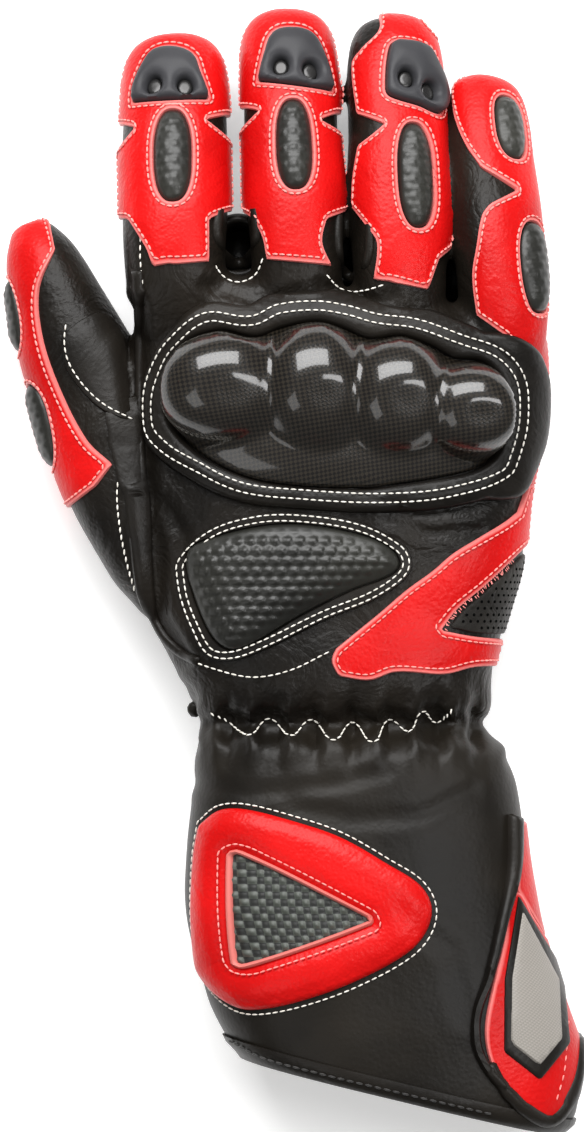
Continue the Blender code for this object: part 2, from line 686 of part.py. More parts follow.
def finish(thing, name, slot):
    """Clean a piece, give it its name and material and move it among the glove's pieces."""
    shape = bmesh.new()
    shape.from_mesh(thing.data)
    bmesh.ops.dissolve_limit(shape, angle_limit=math.radians(FLAT_ANGLE), verts=shape.verts,
                             edges=shape.edges)
    bmesh.ops.triangulate(shape, faces=shape.faces)
    bmesh.ops.remove_doubles(shape, verts=shape.verts, dist=0.000002)
    shape.to_mesh(thing.data)
    shape.free()
    largest_body(thing)
    thing.name = name
    thing.data.name = name
    thing.data.materials.clear()
    thing.data.materials.append(material(slot))
    thing.data.shade_smooth()
    thing.data.set_sharp_from_angle(angle=math.radians(35))
    CUTTERS.objects.unlink(thing)
    GLOVE.objects.link(thing)
    thing.hide_render = False
    thing.display_type = "TEXTURED"
    return thing


def overlay(name, slot, limb, outline, space, thickness, limbs, windows=()):
    """A flat piece that follows the leather below it: its outline cut from a layer over the skin."""
    piece = prism(name, limb, outline)
    combine(piece, space, "INTERSECT")
    combine(piece, skin(limbs, GAP + thickness), "INTERSECT")
    combine(piece, skin(ALL_LIMBS, GAP), "DIFFERENCE")
    for window in windows:
        combine(piece, window, "DIFFERENCE")
    return finish(piece, name, slot)


def leather_shell():
    """The hollow leather, cut by thin seams into hand, palm, fingers, thumb and cuff."""
    outer = copy_of(skin(ALL_LIMBS, 0.0), "outer")
    combine(outer, upper_space(0.0), "INTERSECT")
    inner = copy_of(skin(ALL_LIMBS, -LEATHER), "inner")
    combine(inner, upper_space(LEATHER), "INTERSECT")
    combine(outer, inner, "DIFFERENCE", "MANIFOLD")
    for seam in seams():
        combine(outer, seam, "DIFFERENCE", "MANIFOLD")
    return outer


def seams():
    """Thin slots at the finger roots, along the thumb and at the wrist gather."""
    slots = []
    half = GAP / 2
    low, high = -5 * LEATHER, FAR / 2
    for name in ("index", "middle", "ring", "little"):
        root, length, width, lean, _ = limb_plan(name)
        matrix = Matrix.Translation(root) @ Matrix.Rotation(-math.radians(lean), 4, "Z")
        reach = SEAM_REACH * width
        place = (LITTLE_SEAM if name == "little" else FINGER_SEAM) * length
        slots.append(block("seam", (-reach, place - half, low), (reach, place + half, high), matrix))
    crotch = Vector((THUMB_CROTCH[0] * HAND_WIDTH, THUMB_CROTCH[1] * HAND_LENGTH, 0.0))
    base = Vector((THUMB_BASE[0] * HAND_WIDTH, THUMB_BASE[1] * HAND_LENGTH, 0.0))
    down = (base - crotch).normalized()
    side = Vector((down.y, -down.x, 0.0))
    matrix = axes_matrix(crotch, side, down, Vector((0.0, 0.0, 1.0)))
    start = THUMB_SEAM_START * HAND_LENGTH
    slots.append(block("seam", (-half, start, low), (half, HAND_LENGTH, high), matrix))
    wrist = wrist_point()
    reach = WRIST_REACH * HAND_WIDTH
    slots.append(block("seam", (wrist.x - reach, wrist.y - half, low),
                       (wrist.x + reach, wrist.y + half, high)))
    return slots


def separate(thing):
    """Split a mesh into its separate bodies."""
    shape = bmesh.new()
    shape.from_mesh(thing.data)
    pieces = []
    for island in islands(shape):
        keep = {vert.index for vert in island}
        body = bmesh.new()
        body.from_mesh(thing.data)
        bmesh.ops.delete(body, geom=[v for v in body.verts if v.index not in keep], context="VERTS")
        mesh = bpy.data.meshes.new("body")
        body.to_mesh(mesh)
        body.free()
        pieces.append(mesh_object("body", mesh))
    shape.free()
    return pieces


def middle_of(thing):
    corners = [vert.co for vert in thing.data.vertices]
    return sum(corners, Vector()) / len(corners)


def build_leather():
    pieces = separate(leather_shell())
    anchors = {"hand": Vector((0.1 * HAND_WIDTH, 0.2 * HAND_LENGTH, 0.02))}
    wrist = wrist_point()
    anchors["cuff"] = Vector((wrist.x, wrist.y - CUFF_LENGTH / 2, 0.02))
    for name in ("index", "middle", "ring", "little", "thumb"):
        anchors[name] = limb_frame(name, 0.5)[0]
    for label, anchor in anchors.items():
        piece = min(pieces, key=lambda body: (middle_of(body) - anchor).length)
        pieces.remove(piece)
        if label == "hand":
            palm = copy_of(piece, "palm")
            combine(palm, upper_space(PALM_SEAM_HEIGHT - GAP / 2), "DIFFERENCE")
            combine(piece, upper_space(PALM_SEAM_HEIGHT + GAP / 2), "INTERSECT")
            finish(palm, "palm", "black_leather")
            finish(piece, "hand_back", "black_leather")
        elif label in ("cuff", "thumb"):
            finish(piece, label, "black_leather")
        else:
            finish(piece, label + "_finger", "black_leather")


def build_slider(limb, outline):
    """A hard tip slider with two round holes through it."""
    piece = prism(limb + "_slider", limb, outline)
    combine(piece, limb_upper(limb, -SLIDER_LIFT * FINGER_WIDTH), "INTERSECT")
    combine(piece, skin((limb,), GAP + SLIDER), "INTERSECT")
    combine(piece, skin((limb,), GAP), "DIFFERENCE")
    for across, along in SLIDER_HOLES[limb]:
        place = plan_points(limb, [(across, along)])[0][0]
        shape = bmesh.new()
        bmesh.ops.create_cone(shape, cap_ends=True, segments=12, radius1=SLIDER_HOLE_RADIUS,
                              radius2=SLIDER_HOLE_RADIUS, depth=FAR)
        bmesh.ops.translate(shape, verts=shape.verts, vec=(place.x, place.y, 0.0))
        mesh = bpy.data.meshes.new("hole")
        shape.to_mesh(mesh)
        shape.free()
        combine(piece, mesh_object("hole", mesh), "DIFFERENCE")
    finish(piece, limb + "_slider", "slider_plastic")


def build_pads():
    for limb, name, along, angle, half_width, half_length in OVAL_PADS:
        piece = oval(name, limb, along, angle, half_width, half_length)
        combine(piece, skin((limb,), GAP + PAD), "INTERSECT")
        combine(piece, skin((limb,), GAP), "DIFFERENCE")
        finish(piece, name, "embossed_pad")


def pad_windows(limb):
    windows = []
    for owner, _, along, angle, half_width, half_length in OVAL_PADS:
        if owner == limb:
            windows.append(oval("window", limb, along, angle, half_width, half_length, GAP))
    return windows


def build_finger_overlays():
    sliders = {"index": INDEX_SLIDER, "middle": MIDDLE_SLIDER, "ring": RING_SLIDER}
    reds = {"index": INDEX_RED, "middle": MIDDLE_RED, "ring": RING_RED, "little": LITTLE_RED}
    for limb, outline in reds.items():
        windows = pad_windows(limb)
        if limb in sliders:
            windows.append(prism("window", limb, sliders[limb], GAP))
            build_slider(limb, sliders[limb])
        limbs = ("hand", "little") if limb == "little" else (limb,)
        overlay(limb + "_overlay", "red_leather", limb, outline,
                limb_upper(limb, FINGER_RED_DEPTH * FINGER_WIDTH), OVERLAY, limbs, windows)
    overlay("thumb_overlay", "red_leather", "thumb", THUMB_RED,
            limb_upper("thumb", THUMB_RED_DEPTH * THUMB_WIDTH), OVERLAY, ("thumb",),
            pad_windows("thumb"))
    overlay("thumb_patch", "black_leather", "thumb", THUMB_PATCH, limb_upper("thumb", 0.0),
            OVERLAY, ("thumb",))


def upright_oval(name, place, half_width, half_length, low, high):
    """An upright oval peg."""
    shape = bmesh.new()
    bmesh.ops.create_cone(shape, cap_ends=True, segments=16, radius1=1.0, radius2=1.0, depth=1.0)
    for vert in shape.verts:
        height = low if vert.co.z < 0.0 else high
        vert.co = Vector((place.x + vert.co.x * half_width, place.y + vert.co.y * half_length, height))
    mesh = bpy.data.meshes.new(name)
    shape.to_mesh(mesh)
    shape.free()
    return mesh_object(name, mesh)


def build_loops():
    """Hollow oval loops of leather that close the gaps at the finger roots."""
    for name, across, along, half_width, half_length in FINGER_LOOPS:
        place = Vector((across * HAND_WIDTH, along * HAND_LENGTH))
        wide, long = half_width * HAND_WIDTH, half_length * HAND_LENGTH
        piece = upright_oval(name, place, wide, long, LOOP_FLOOR, LOOP_TOP)
        pit = upright_oval("pit", place, wide - LEATHER, long - LEATHER, LOOP_FLOOR + LEATHER,
                           LOOP_TOP + LEATHER)
        combine(piece, pit, "DIFFERENCE")
        combine(piece, skin(ALL_LIMBS, GAP), "DIFFERENCE")
        finish(piece, name, "black_leather")


def build_knuckles():
    """The raised surround and the hard guard with its four bumps."""
    space = upper_space(BACK_LEVEL * HAND_HEIGHT)
    overlay("knuckle_surround", "black_leather", "hand", KNUCKLE_SURROUND, space, SURROUND, ALL_LIMBS,
            [prism("window", "hand", KNUCKLE_GUARD, GAP)])
    guard = copy_of(skin(("hand",), GAP + GUARD_BASE), "guard")
    for across, along, half_width, half_length, rise in GUARD_BUMPS:
        shape = bmesh.new()
        bmesh.ops.create_uvsphere(shape, u_segments=12, v_segments=8, radius=1.0)
        for vert in shape.verts:
            vert.co = Vector((
                across * HAND_WIDTH + vert.co.x * half_width * HAND_WIDTH,
                along * HAND_LENGTH + vert.co.y * half_length * HAND_LENGTH,
                HAND_HEIGHT + (vert.co.z * (1.0 + BUMP_DEPTH) - BUMP_DEPTH) * rise * GUARD_BUMP,
            ))
        mesh = bpy.data.meshes.new("bump")
        shape.to_mesh(mesh)
        shape.free()
        combine(guard, mesh_object("bump", mesh), "UNION")
    combine(guard, space, "INTERSECT")
    combine(guard, prism("outline", "hand", KNUCKLE_GUARD), "INTERSECT")
    combine(guard, skin(ALL_LIMBS, GAP), "DIFFERENCE")
    finish(guard, "knuckle_guard", "carbon_guard")


def build_back():
    """The framed pad on the back of the hand and the flash with its insert on the outer side."""
    space = upper_space(BACK_LEVEL * HAND_HEIGHT)
    overlay("back_frame", "black_leather", "hand", BACK_FRAME, space, OVERLAY, ALL_LIMBS,
            [prism("window", "hand", BACK_PAD, GAP)])
    overlay("back_pad", "embossed_pad", "hand", BACK_PAD, space, PAD, ("hand",))
    side = upper_space(SIDE_LEVEL * HAND_HEIGHT)
    overlay("side_insert", "black_leather", "hand", SIDE_INSERT, side, OVERLAY, ("hand",))
    overlay("side_flash", "red_leather", "hand", SIDE_FLASH, side, OVERLAY, ("hand",),
            [prism("window", "hand", SIDE_INSERT, GAP)])


def build_cuff():
    """The padded patch with its woven insert, the hem, the edge piping and the closure."""
    space = upper_space(CUFF_LEVEL * CUFF_HEIGHT)
    hand = ("hand",)
    overlay("cuff_patch", "red_leather", "cuff", CUFF_PATCH, space, OVERLAY, hand,
            [prism("window", "cuff", CUFF_WEAVE, GAP)])
    overlay("cuff_weave", "weave", "cuff", CUFF_WEAVE, space, OVERLAY, hand)
    overlay("cuff_piping", "black_leather", "cuff", CUFF_PIPING, space, PIPING, hand)
    piping = prism("window", "cuff", CUFF_PIPING, GAP)
    overlay("closure_strap", "red_leather", "cuff", CLOSURE_STRAP, space, OVERLAY, hand, [piping])
    overlay("closure_tab", "red_leather", "cuff", CLOSURE_TAB, space, OVERLAY, hand,
            [piping, prism("window", "cuff", CLOSURE_STRAP, GAP),
             prism("window", "cuff", BADGE_RIM, GAP)])
    overlay("badge_rim", "black_leather", "cuff", BADGE_RIM, space, BADGE, hand,
            [prism("window", "cuff", BADGE_FACE, GAP)])
    overlay("badge", "badge_grey", "cuff", BADGE_FACE, space, BADGE, hand)
    build_hem()


def build_hem():
    """The binding around the cuff's mouth."""
    out = mouth_forward()
    wrist = wrist_point()
    last = CUFF_SECTIONS[-1]
    centre = Vector((wrist.x + last[1] * CUFF_WIDTH, wrist.y - last[0] * CUFF_LENGTH, 0.0))
    side = Vector((out.y, -out.x, 0.0))
    matrix = axes_matrix(centre, side, out, Vector((0.0, 0.0, 1.0)))
    reach = HEM_REACH * CUFF_WIDTH
    hem = block("hem", (-reach, -HEM_HEIGHT, 0.0), (reach, -GAP, FAR), matrix)
    combine(hem, skin(("hand",), GAP + OVERLAY), "INTERSECT")
    combine(hem, skin(("hand",), GAP), "DIFFERENCE")
    finish(hem, "cuff_hem", "black_leather")


def remove_guides():
    for guide in list(CUTTERS.objects):
        bpy.data.objects.remove(guide, do_unlink=True)


build_leather()
build_pads()
build_finger_overlays()
build_loops()
build_knuckles()
build_back()
build_cuff()
remove_guides()
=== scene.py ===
"""A right-hand leather gauntlet for motorcycle riding, lying empty with its palm down.

The leather sleeve is made first, then everything that is sewn or riveted on it, from the fingertips
to the cuff, and last the thread, the floor, the light and the camera. Sizes are in metres.
"""
import math

import bmesh
import bpy
import numpy as np
from mathutils import Matrix, Vector, geometry
from mathutils.bvhtree import BVHTree


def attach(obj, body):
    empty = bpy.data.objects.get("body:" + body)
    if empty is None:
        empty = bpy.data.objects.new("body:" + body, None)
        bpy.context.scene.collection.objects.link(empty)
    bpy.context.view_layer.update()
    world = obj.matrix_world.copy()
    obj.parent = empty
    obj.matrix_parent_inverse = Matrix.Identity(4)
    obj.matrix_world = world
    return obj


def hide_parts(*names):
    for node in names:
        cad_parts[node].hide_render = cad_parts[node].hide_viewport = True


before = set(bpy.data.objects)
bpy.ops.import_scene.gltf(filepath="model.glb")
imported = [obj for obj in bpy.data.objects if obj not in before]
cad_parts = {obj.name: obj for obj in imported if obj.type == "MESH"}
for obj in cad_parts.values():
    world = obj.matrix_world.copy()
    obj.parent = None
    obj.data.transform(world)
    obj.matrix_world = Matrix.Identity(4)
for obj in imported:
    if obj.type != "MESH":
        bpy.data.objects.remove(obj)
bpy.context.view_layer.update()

# The leather glove: soft black leather about 2 mm thick, sewn from a back, a palm, four fingers, a
# thumb and a long cuff that is gathered at the wrist. Its sections are the ones it was cut to,
# flowed into each other and creased where the leather folds.
LEATHER = 0.002
HAND_LENGTH, HAND_WIDTH, HAND_HEIGHT = 0.125, 0.116, 0.042
CUFF_LENGTH, CUFF_WIDTH, CUFF_HEIGHT = 0.100, 0.096, 0.050
FINGER_LENGTH, FINGER_WIDTH, FINGER_HEIGHT, FINGER_DROP = 0.0765, 0.0288, 0.027, 0.0205
THUMB_LENGTH, THUMB_WIDTH, THUMB_HEIGHT, THUMB_DROP = 0.0947, 0.029, 0.0178, 0.008
REST_DIP = 0.0016
VOXEL, SOFTEN_ROUNDS = 0.0012, 8
# rings along, sides round and squareness of the body's and of a limb's sections
BODY_RINGS, BODY_SIDES, BODY_SQUARE = 150, 96, 2.5
LIMB_RINGS, LIMB_SIDES, LIMB_SQUARE = 70, 48, 2.3

# along, centre, width, top and tilt of the hand's sections, in shares of its sizes
HAND_SECTIONS = [
    (-0.350, 0.113, 0.700, 0.95, 0.0),
    (-0.310, 0.115, 0.722, 1.06, 0.0),
    (-0.262, 0.110, 0.738, 1.10, 0.0),
    (-0.205, 0.097, 0.778, 1.10, 0.0),
    (-0.112, 0.086, 0.865, 1.07, 0.0),
    (0.000, 0.092, 0.915, 1.06, 0.0),
    (0.160, 0.092, 0.958, 1.04, 0.0),
    (0.320, 0.106, 0.992, 1.01, 0.0),
    (0.500, 0.111, 0.990, 0.98, 2.0),
    (0.565, 0.110, 0.980, 0.92, 5.0),
    (0.605, 0.109, 0.955, 0.82, 8.0),
    (0.622, 0.109, 0.900, 0.70, 8.0),
]
# down, centre, width, top and tilt of the cuff's sections, in shares of its sizes
CUFF_SECTIONS = [
    (0.035, 0.006, 0.862, 0.89, 0.0),
    (0.085, 0.030, 0.905, 0.95, 0.0),
    (0.170, 0.048, 0.945, 0.98, 0.5),
    (0.300, 0.053, 0.975, 1.01, 1.5),
    (0.470, 0.059, 1.015, 1.04, 4.0),
    (0.650, 0.095, 1.070, 1.07, 7.0),
    (0.840, 0.155, 1.105, 1.08, 10.0),
    (0.985, 0.180, 1.040, 1.08, 12.5),
    (1.050, 0.190, 0.910, 1.06, 13.5),
]
# name, across, along, lean, roll, length, width
FINGERS = [
    ("index", -0.280, 0.663, -0.5, 0.0, 0.856, 1.010),
    ("middle", 0.010, 0.663, -2.0, 0.0, 0.956, 0.910),
    ("ring", 0.262, 0.630, -2.1, 16.0, 1.000, 0.915),
    ("little", 0.505, 0.574, -4.8, 36.0, 0.861, 0.830),
]
# along, width and height of a finger, in shares
FINGER_SECTIONS = [
    (-0.290, 0.72, 0.52),
    (0.000, 0.97, 0.90),
    (0.250, 1.01, 0.92),
    (0.500, 1.00, 0.90),
    (0.720, 0.99, 0.86),
    (0.860, 0.92, 0.78),
    (0.930, 0.76, 0.66),
    (0.968, 0.44, 0.36),
]
# along, bow, width and height of the thumb, in shares
THUMB_SECTIONS = [
    (-0.310, 0.230, 0.46, 0.90),
    (-0.190, 0.110, 0.72, 1.16),
    (-0.060, 0.030, 0.94, 1.26),
    (0.110, -0.020, 1.04, 1.24),
    (0.300, -0.050, 1.08, 1.12),
    (0.470, -0.050, 1.08, 1.00),
    (0.640, -0.060, 0.98, 0.92),
    (0.790, -0.045, 0.80, 0.80),
    (0.915, -0.040, 0.62, 0.64),
    (0.995, -0.034, 0.36, 0.38),
]
THUMB_ROOT, THUMB_LEAN, THUMB_ROLL = (-0.343, 0.058), -19.9, -24.0


def eased(start, leave, end, arrive, u):
    """A point on the smooth curve between two points, with the ways it leaves and arrives."""
    return (start * (2 * u ** 3 - 3 * u ** 2 + 1) + leave * (u ** 3 - 2 * u ** 2 + u)
            + end * (3 * u ** 2 - 2 * u ** 3) + arrive * (u ** 3 - u ** 2))


def flow(rows, count):
    """More rows between those of a table, on smooth lines through its columns that never overshoot."""
    rows = np.array(rows, float)
    x = rows[:, 0]
    steps = np.diff(x)[:, None]
    rise = np.diff(rows, axis=0) / steps
    slope = np.zeros_like(rows)
    slope[0], slope[-1] = rise[0], rise[-1]
    same = rise[:-1] * rise[1:] > 0
    both = np.where(same, rise[:-1] + rise[1:], 1.0)
    slope[1:-1] = np.where(same, 2 * rise[:-1] * rise[1:] / both, 0.0)
    direction = np.sign(steps[0, 0])
    made = []
    for place in np.interp(np.linspace(0, len(x) - 1, count), np.arange(len(x)), x):
        k = int(np.searchsorted(direction * x, direction * place)) - 1
        k = min(max(k, 0), len(x) - 2)
        h = x[k + 1] - x[k]
        made.append(eased(rows[k], slope[k] * h, rows[k + 1], slope[k + 1] * h, (place - x[k]) / h))
    return np.array(made)


def limb_plan(name):
    """Root, length, width, lean and roll of a finger or of the thumb."""
    if name == "thumb":
        root = Vector((THUMB_ROOT[0] * HAND_WIDTH, THUMB_ROOT[1] * HAND_LENGTH, 0))
        return root, THUMB_LENGTH, THUMB_WIDTH, THUMB_LEAN, THUMB_ROLL
    row = next(entry for entry in FINGERS if entry[0] == name)
    root = Vector((row[1] * HAND_WIDTH, row[2] * HAND_LENGTH, 0))
    return root, row[5] * FINGER_LENGTH, row[6] * FINGER_WIDTH, row[3], row[4]


def plan_axes(lean):
    """The ways forward and across of a limb that leans by some degrees in plan."""
    ahead = Vector((math.sin(math.radians(lean)), math.cos(math.radians(lean)), 0))
    return ahead, Vector((ahead.y, -ahead.x, 0))


def limb_frame(name, along, bow=0.0):
    """A point of a limb's spine and its axes across, forward and up, rolled with the limb."""
    root, length, width, lean, roll = limb_plan(name)
    ahead, side = plan_axes(lean)
    height, drop = (THUMB_HEIGHT, THUMB_DROP) if name == "thumb" else (FINGER_HEIGHT, FINGER_DROP)
    share = max(along, 0.0)
    point = root + ahead * along * length + side * bow * width
    point.z = height - drop * share ** 1.5
    forward = (ahead + Vector((0, 0, -1.5 * drop * share ** 0.5 / length))).normalized()
    across = Matrix.Rotation(math.radians(roll), 3, forward) @ side
    return point, across, forward, across.cross(forward)


def oval_ring(centre, across, up, half_width, half_height, sides, power):
    """A ring of points: an ellipse at power 2, squarer above it."""
    turns = np.linspace(0, 2 * math.pi, sides, endpoint=False)
    c, s = np.cos(turns), np.sin(turns)
    x = np.sign(c) * np.abs(c) ** (2 / power) * half_width
    z = np.sign(s) * np.abs(s) ** (2 / power) * half_height
    return np.array(centre) + x[:, None] * np.array(across) + z[:, None] * np.array(up)


def sleeve(rings):
    """Points and faces of a closed sleeve through rings of points."""
    count = len(rings[0])
    faces = []
    for k in range(len(rings) - 1):
        low = k * count
        for j in range(count):
            other = (j + 1) % count
            faces.append((low + j, low + other, low + count + other, low + count + j))
    faces.append(tuple(reversed(range(count))))
    faces.append(tuple(range((len(rings) - 1) * count, len(rings) * count)))
    return np.concatenate(rings), faces


hand_rows = [(along * HAND_LENGTH, centre * HAND_WIDTH, width * HAND_WIDTH, top * HAND_HEIGHT, tilt)
             for along, centre, width, top, tilt in reversed(HAND_SECTIONS)]
wrist = Vector((HAND_SECTIONS[0][1] * HAND_WIDTH, HAND_SECTIONS[0][0] * HAND_LENGTH, 0))
hand_rows += [(wrist.y - down * CUFF_LENGTH, wrist.x + centre * CUFF_WIDTH, width * CUFF_WIDTH,
               top * CUFF_HEIGHT, tilt) for down, centre, width, top, tilt in CUFF_SECTIONS]
hand_flow = flow(hand_rows, BODY_RINGS)
rings = []
for y, x, width, top, tilt in hand_flow:
    turn = math.radians(tilt)
    rings.append(oval_ring((x, y, (top - REST_DIP) / 2), (math.cos(turn), -math.sin(turn), 0), (0, 0, 1),
                           width / 2, (top + REST_DIP) / 2, BODY_SIDES, BODY_SQUARE))
sleeves = [sleeve(rings)]
for name in ("index", "middle", "ring", "little", "thumb"):
    width = limb_plan(name)[2]
    if name == "thumb":
        rows = flow(THUMB_SECTIONS, LIMB_RINGS)
    else:
        rows = flow([(along, 0.0, wide, high) for along, wide, high in FINGER_SECTIONS], LIMB_RINGS)
    rings = []
    for along, bow, wide, high in rows:
        centre, across, _, up = limb_frame(name, along, bow)
        rings.append(oval_ring(centre, across, up, wide * width / 2, high * width / 2,
                               LIMB_SIDES, LIMB_SQUARE))
    sleeves.append(sleeve(rings))
points = []
faces = []
base = 0
for some_points, some_faces in sleeves:
    points.append(some_points)
    faces += [tuple(base + k for k in face) for face in some_faces]
    base += len(some_points)


def mesh_of(name, points, faces, lines=()):
    """A mesh from rows of points, with its faces or its lines."""
    made = bpy.data.meshes.new(name)
    made.from_pydata(np.array(points).tolist(), list(lines), list(faces))
    made.update()
    return made


def placed(name, content):
    """A new object in the scene that holds a mesh, a light or a camera."""
    made = bpy.data.objects.new(name, content)
    bpy.context.scene.collection.objects.link(made)
    return made


def settled(thing):
    """The mesh that an object's modifiers make of it. The object itself goes."""
    graph = bpy.context.evaluated_depsgraph_get()
    mesh = bpy.data.meshes.new_from_object(thing.evaluated_get(graph))
    thing.modifiers.clear()
    bpy.data.objects.remove(thing)
    return mesh


raw = mesh_of("raw_leather", np.concatenate(points), faces)
turned = bmesh.new()
turned.from_mesh(raw)
bmesh.ops.recalc_face_normals(turned, faces=turned.faces)
turned.to_mesh(raw)
turned.free()
form = placed("raw_leather", raw)
one_skin = form.modifiers.new("One skin", "REMESH")
one_skin.mode = "VOXEL"
one_skin.voxel_size = VOXEL
soften = form.modifiers.new("Soften", "SMOOTH")
soften.factor = 0.5
soften.iterations = SOFTEN_ROUNDS
skin = settled(form)


def array_of(collection, name, width):
    """One measure of all of a mesh's points, as rows of numbers."""
    found = np.zeros(len(collection) * width, np.float32)
    collection.foreach_get(name, found)
    return found.reshape(-1, width).astype(float)


# how far from its line a fold is still felt, in millimetres
FOLD_REACH = 9.0


def distance_to_path(points, path):
    """Plan distance of each point from a line through corners, up to a fold's reach."""
    best = np.full(len(points), FOLD_REACH)
    for one, two in zip(path[:-1], path[1:]):
        one, two = np.array(one), np.array(two)
        along = two - one
        share = np.clip(((points - one) @ along) / max(along @ along, 1e-12), 0, 1)
        best = np.minimum(best, np.linalg.norm(points - one - share[:, None] * along, axis=1))
    return best


# Folds of the black leather seen from above, in millimetres: depth, half width, and the line
FOLDS = [
    (1.1, 2.6, [(-43, 72), (-42, 40), (-40, 10), (-37, -14), (-30, -26)]),
    (0.7, 2.2, [(-47, 60), (-46, 44), (-43, 24)]),
    (0.6, 2.0, [(-24, 78), (-10, 74), (2, 76)]),
    (0.6, 2.0, [(8, 78), (20, 73), (28, 75)]),
    (0.7, 2.4, [(20, 20), (34, 15), (50, 17), (60, 24)]),
    (0.5, 1.8, [(26, 13), (38, 9), (52, 10)]),
    (0.6, 2.0, [(-36, 18), (-30, 8), (-30, -4)]),
    (0.4, 2.2, [(-30, -60), (-12, -63), (8, -61), (26, -57)]),
    (0.4, 2.6, [(0, -66), (16, -70), (36, -69), (50, -62)]),
    (0.3, 3.0, [(30, -96), (44, -106), (48, -124)]),
]
# the pleats at the wrist, and the dip where the elastic pulls them in
GATHER_Y, GATHER_PITCH, GATHER_DEPTH, GATHER_REACH = -0.0445, 0.0114, 0.0015, 8.5
DIP_DEPTH, DIP_REACH = 0.0009, 3.2
# the slow unevenness of the leather, and the height at which its folds die away
DRIFT, FOLD_END = 0.00035, 0.008
place = array_of(skin.vertices, "co", 3)
outward = array_of(skin.vertices, "normal", 3)
push = np.zeros(len(place))
top_side = np.clip((place[:, 2] - FOLD_END) / FOLD_END, 0, 1)
for depth, half, line in FOLDS:
    far = distance_to_path(place[:, :2] * 1000, line) / half
    push += depth / 1000 * top_side * (0.45 * np.exp(-((far - 1.7) / 0.9) ** 2) - np.exp(-far ** 2))
from_gather = (place[:, 1] - GATHER_Y) * 1000
wave = 2 * math.pi * (place[:, 0] + 0.0004 * np.sin(place[:, 1] * 900)) / GATHER_PITCH
pleat = np.cos(wave) + 0.35 * np.cos(2.3 * wave + 1.0)
push += top_side * GATHER_DEPTH * pleat * np.exp(-(from_gather / GATHER_REACH) ** 2)
push -= top_side * DIP_DEPTH * np.exp(-((from_gather + 1.0) / DIP_REACH) ** 2)
x, y = place[:, 0], place[:, 1]
drift = (np.sin(61 * x + 47 * y + 1.3) * np.sin(83 * y - 39 * x + 0.4)
         + 0.6 * np.sin(171 * x - 118 * y + 2.0) * np.sin(139 * y + 93 * x))
push += DRIFT * drift
place = place + outward * push[:, None]
place[:, 2] = np.maximum(place[:, 2], 0.0)
skin.vertices.foreach_set("co", place.astype(np.float32).ravel())
skin.update()

# the cuff's mouth is trimmed square to the cuff, and the skin is cut along its seams
MOUTH_TRIM = 0.0012
cut = bmesh.new()
cut.from_mesh(skin)
mouth_down, mouth_centre, _, _, mouth_tilt = CUFF_SECTIONS[-1]
mouth_turn = math.radians(mouth_tilt)
mouth_way = Vector((-math.sin(mouth_turn), -math.cos(mouth_turn), 0))
mouth = Vector((wrist.x + mouth_centre * CUFF_WIDTH, wrist.y - mouth_down * CUFF_LENGTH, 0))
everything = list(cut.verts) + list(cut.edges) + list(cut.faces)
bmesh.ops.bisect_plane(cut, geom=everything, plane_co=mouth - mouth_way * MOUTH_TRIM, plane_no=mouth_way,
                       clear_outer=True)


def slice_near(shape, corner, across, test):
    """Cut the faces near a seam along its plane."""
    near = [face for face in shape.faces if test(face.calc_center_median())]
    around = {edge for face in near for edge in face.edges}
    ends = {vert for face in near for vert in face.verts}
    bmesh.ops.bisect_plane(shape, geom=list(ends) + list(around) + near, plane_co=corner, plane_no=across)


SEAM_NEAR = 0.004
SEAM_PLACE = {"index": 0.03, "middle": 0.03, "ring": 0.03, "little": 0.065}
CROTCH, THUMB_SEAM_END = (-0.389, 0.526), (-0.300, -0.200)
PALM_SEAM, PALM_SEAM_END = 0.015, 0.085
finger_seams = {}
for name, place_along in SEAM_PLACE.items():
    root, length, width, lean, _ = limb_plan(name)
    ahead, side = plan_axes(lean)
    corner = root + ahead * place_along * length
    reach = 0.54 * width
    finger_seams[name] = (corner, ahead, side, reach)
    slice_near(cut, corner, ahead, lambda p: abs((p - corner).dot(ahead)) < SEAM_NEAR
               and abs((p - corner).dot(side)) < reach)
crotch = Vector((CROTCH[0] * HAND_WIDTH, CROTCH[1] * HAND_LENGTH, 0))
seam_end = Vector((THUMB_SEAM_END[0] * HAND_WIDTH, THUMB_SEAM_END[1] * HAND_LENGTH, 0))
thumb_down = (seam_end - crotch).normalized()
thumb_side = Vector((thumb_down.y, -thumb_down.x, 0))
to_thumb = 1 if (limb_frame("thumb", 0.6)[0] - crotch).dot(thumb_side) > 0 else -1
above_crotch = -0.06 * HAND_LENGTH
slice_near(cut, crotch, thumb_side, lambda p: abs((p - crotch).dot(thumb_side)) < SEAM_NEAR
           and (p - crotch).dot(thumb_down) > above_crotch)
slice_near(cut, wrist, Vector((0, 1, 0)), lambda p: abs(p.y - wrist.y) < SEAM_NEAR)
slice_near(cut, Vector((0, 0, PALM_SEAM)), Vector((0, 0, 1)), lambda p: abs(p.z - PALM_SEAM) < SEAM_NEAR
           and wrist.y < p.y < PALM_SEAM_END)


def part_of(point):
    """The leather piece that a point of the skin belongs to."""
    if point.y < wrist.y:
        return "cuff"
    for name, (corner, ahead, side, reach) in finger_seams.items():
        if (point - corner).dot(ahead) > 0 and abs((point - corner).dot(side)) < reach:
            return name
    from_crotch = point - crotch
    if from_crotch.dot(thumb_down) > above_crotch and from_crotch.dot(thumb_side) * to_thumb > 0:
        return "thumb"
    return "hand_back" if point.z > PALM_SEAM else "palm"


cut.normal_update()
cut.to_mesh(skin)
cut.free()
skin_points = array_of(skin.vertices, "co", 3)
skin_faces = [tuple(face.vertices) for face in skin.polygons]
leather_skin = BVHTree.FromPolygons(skin_points.tolist(), skin_faces)


def shader_of(material):
    """A material's surface shader."""
    return material.node_tree.nodes["Principled BSDF"]


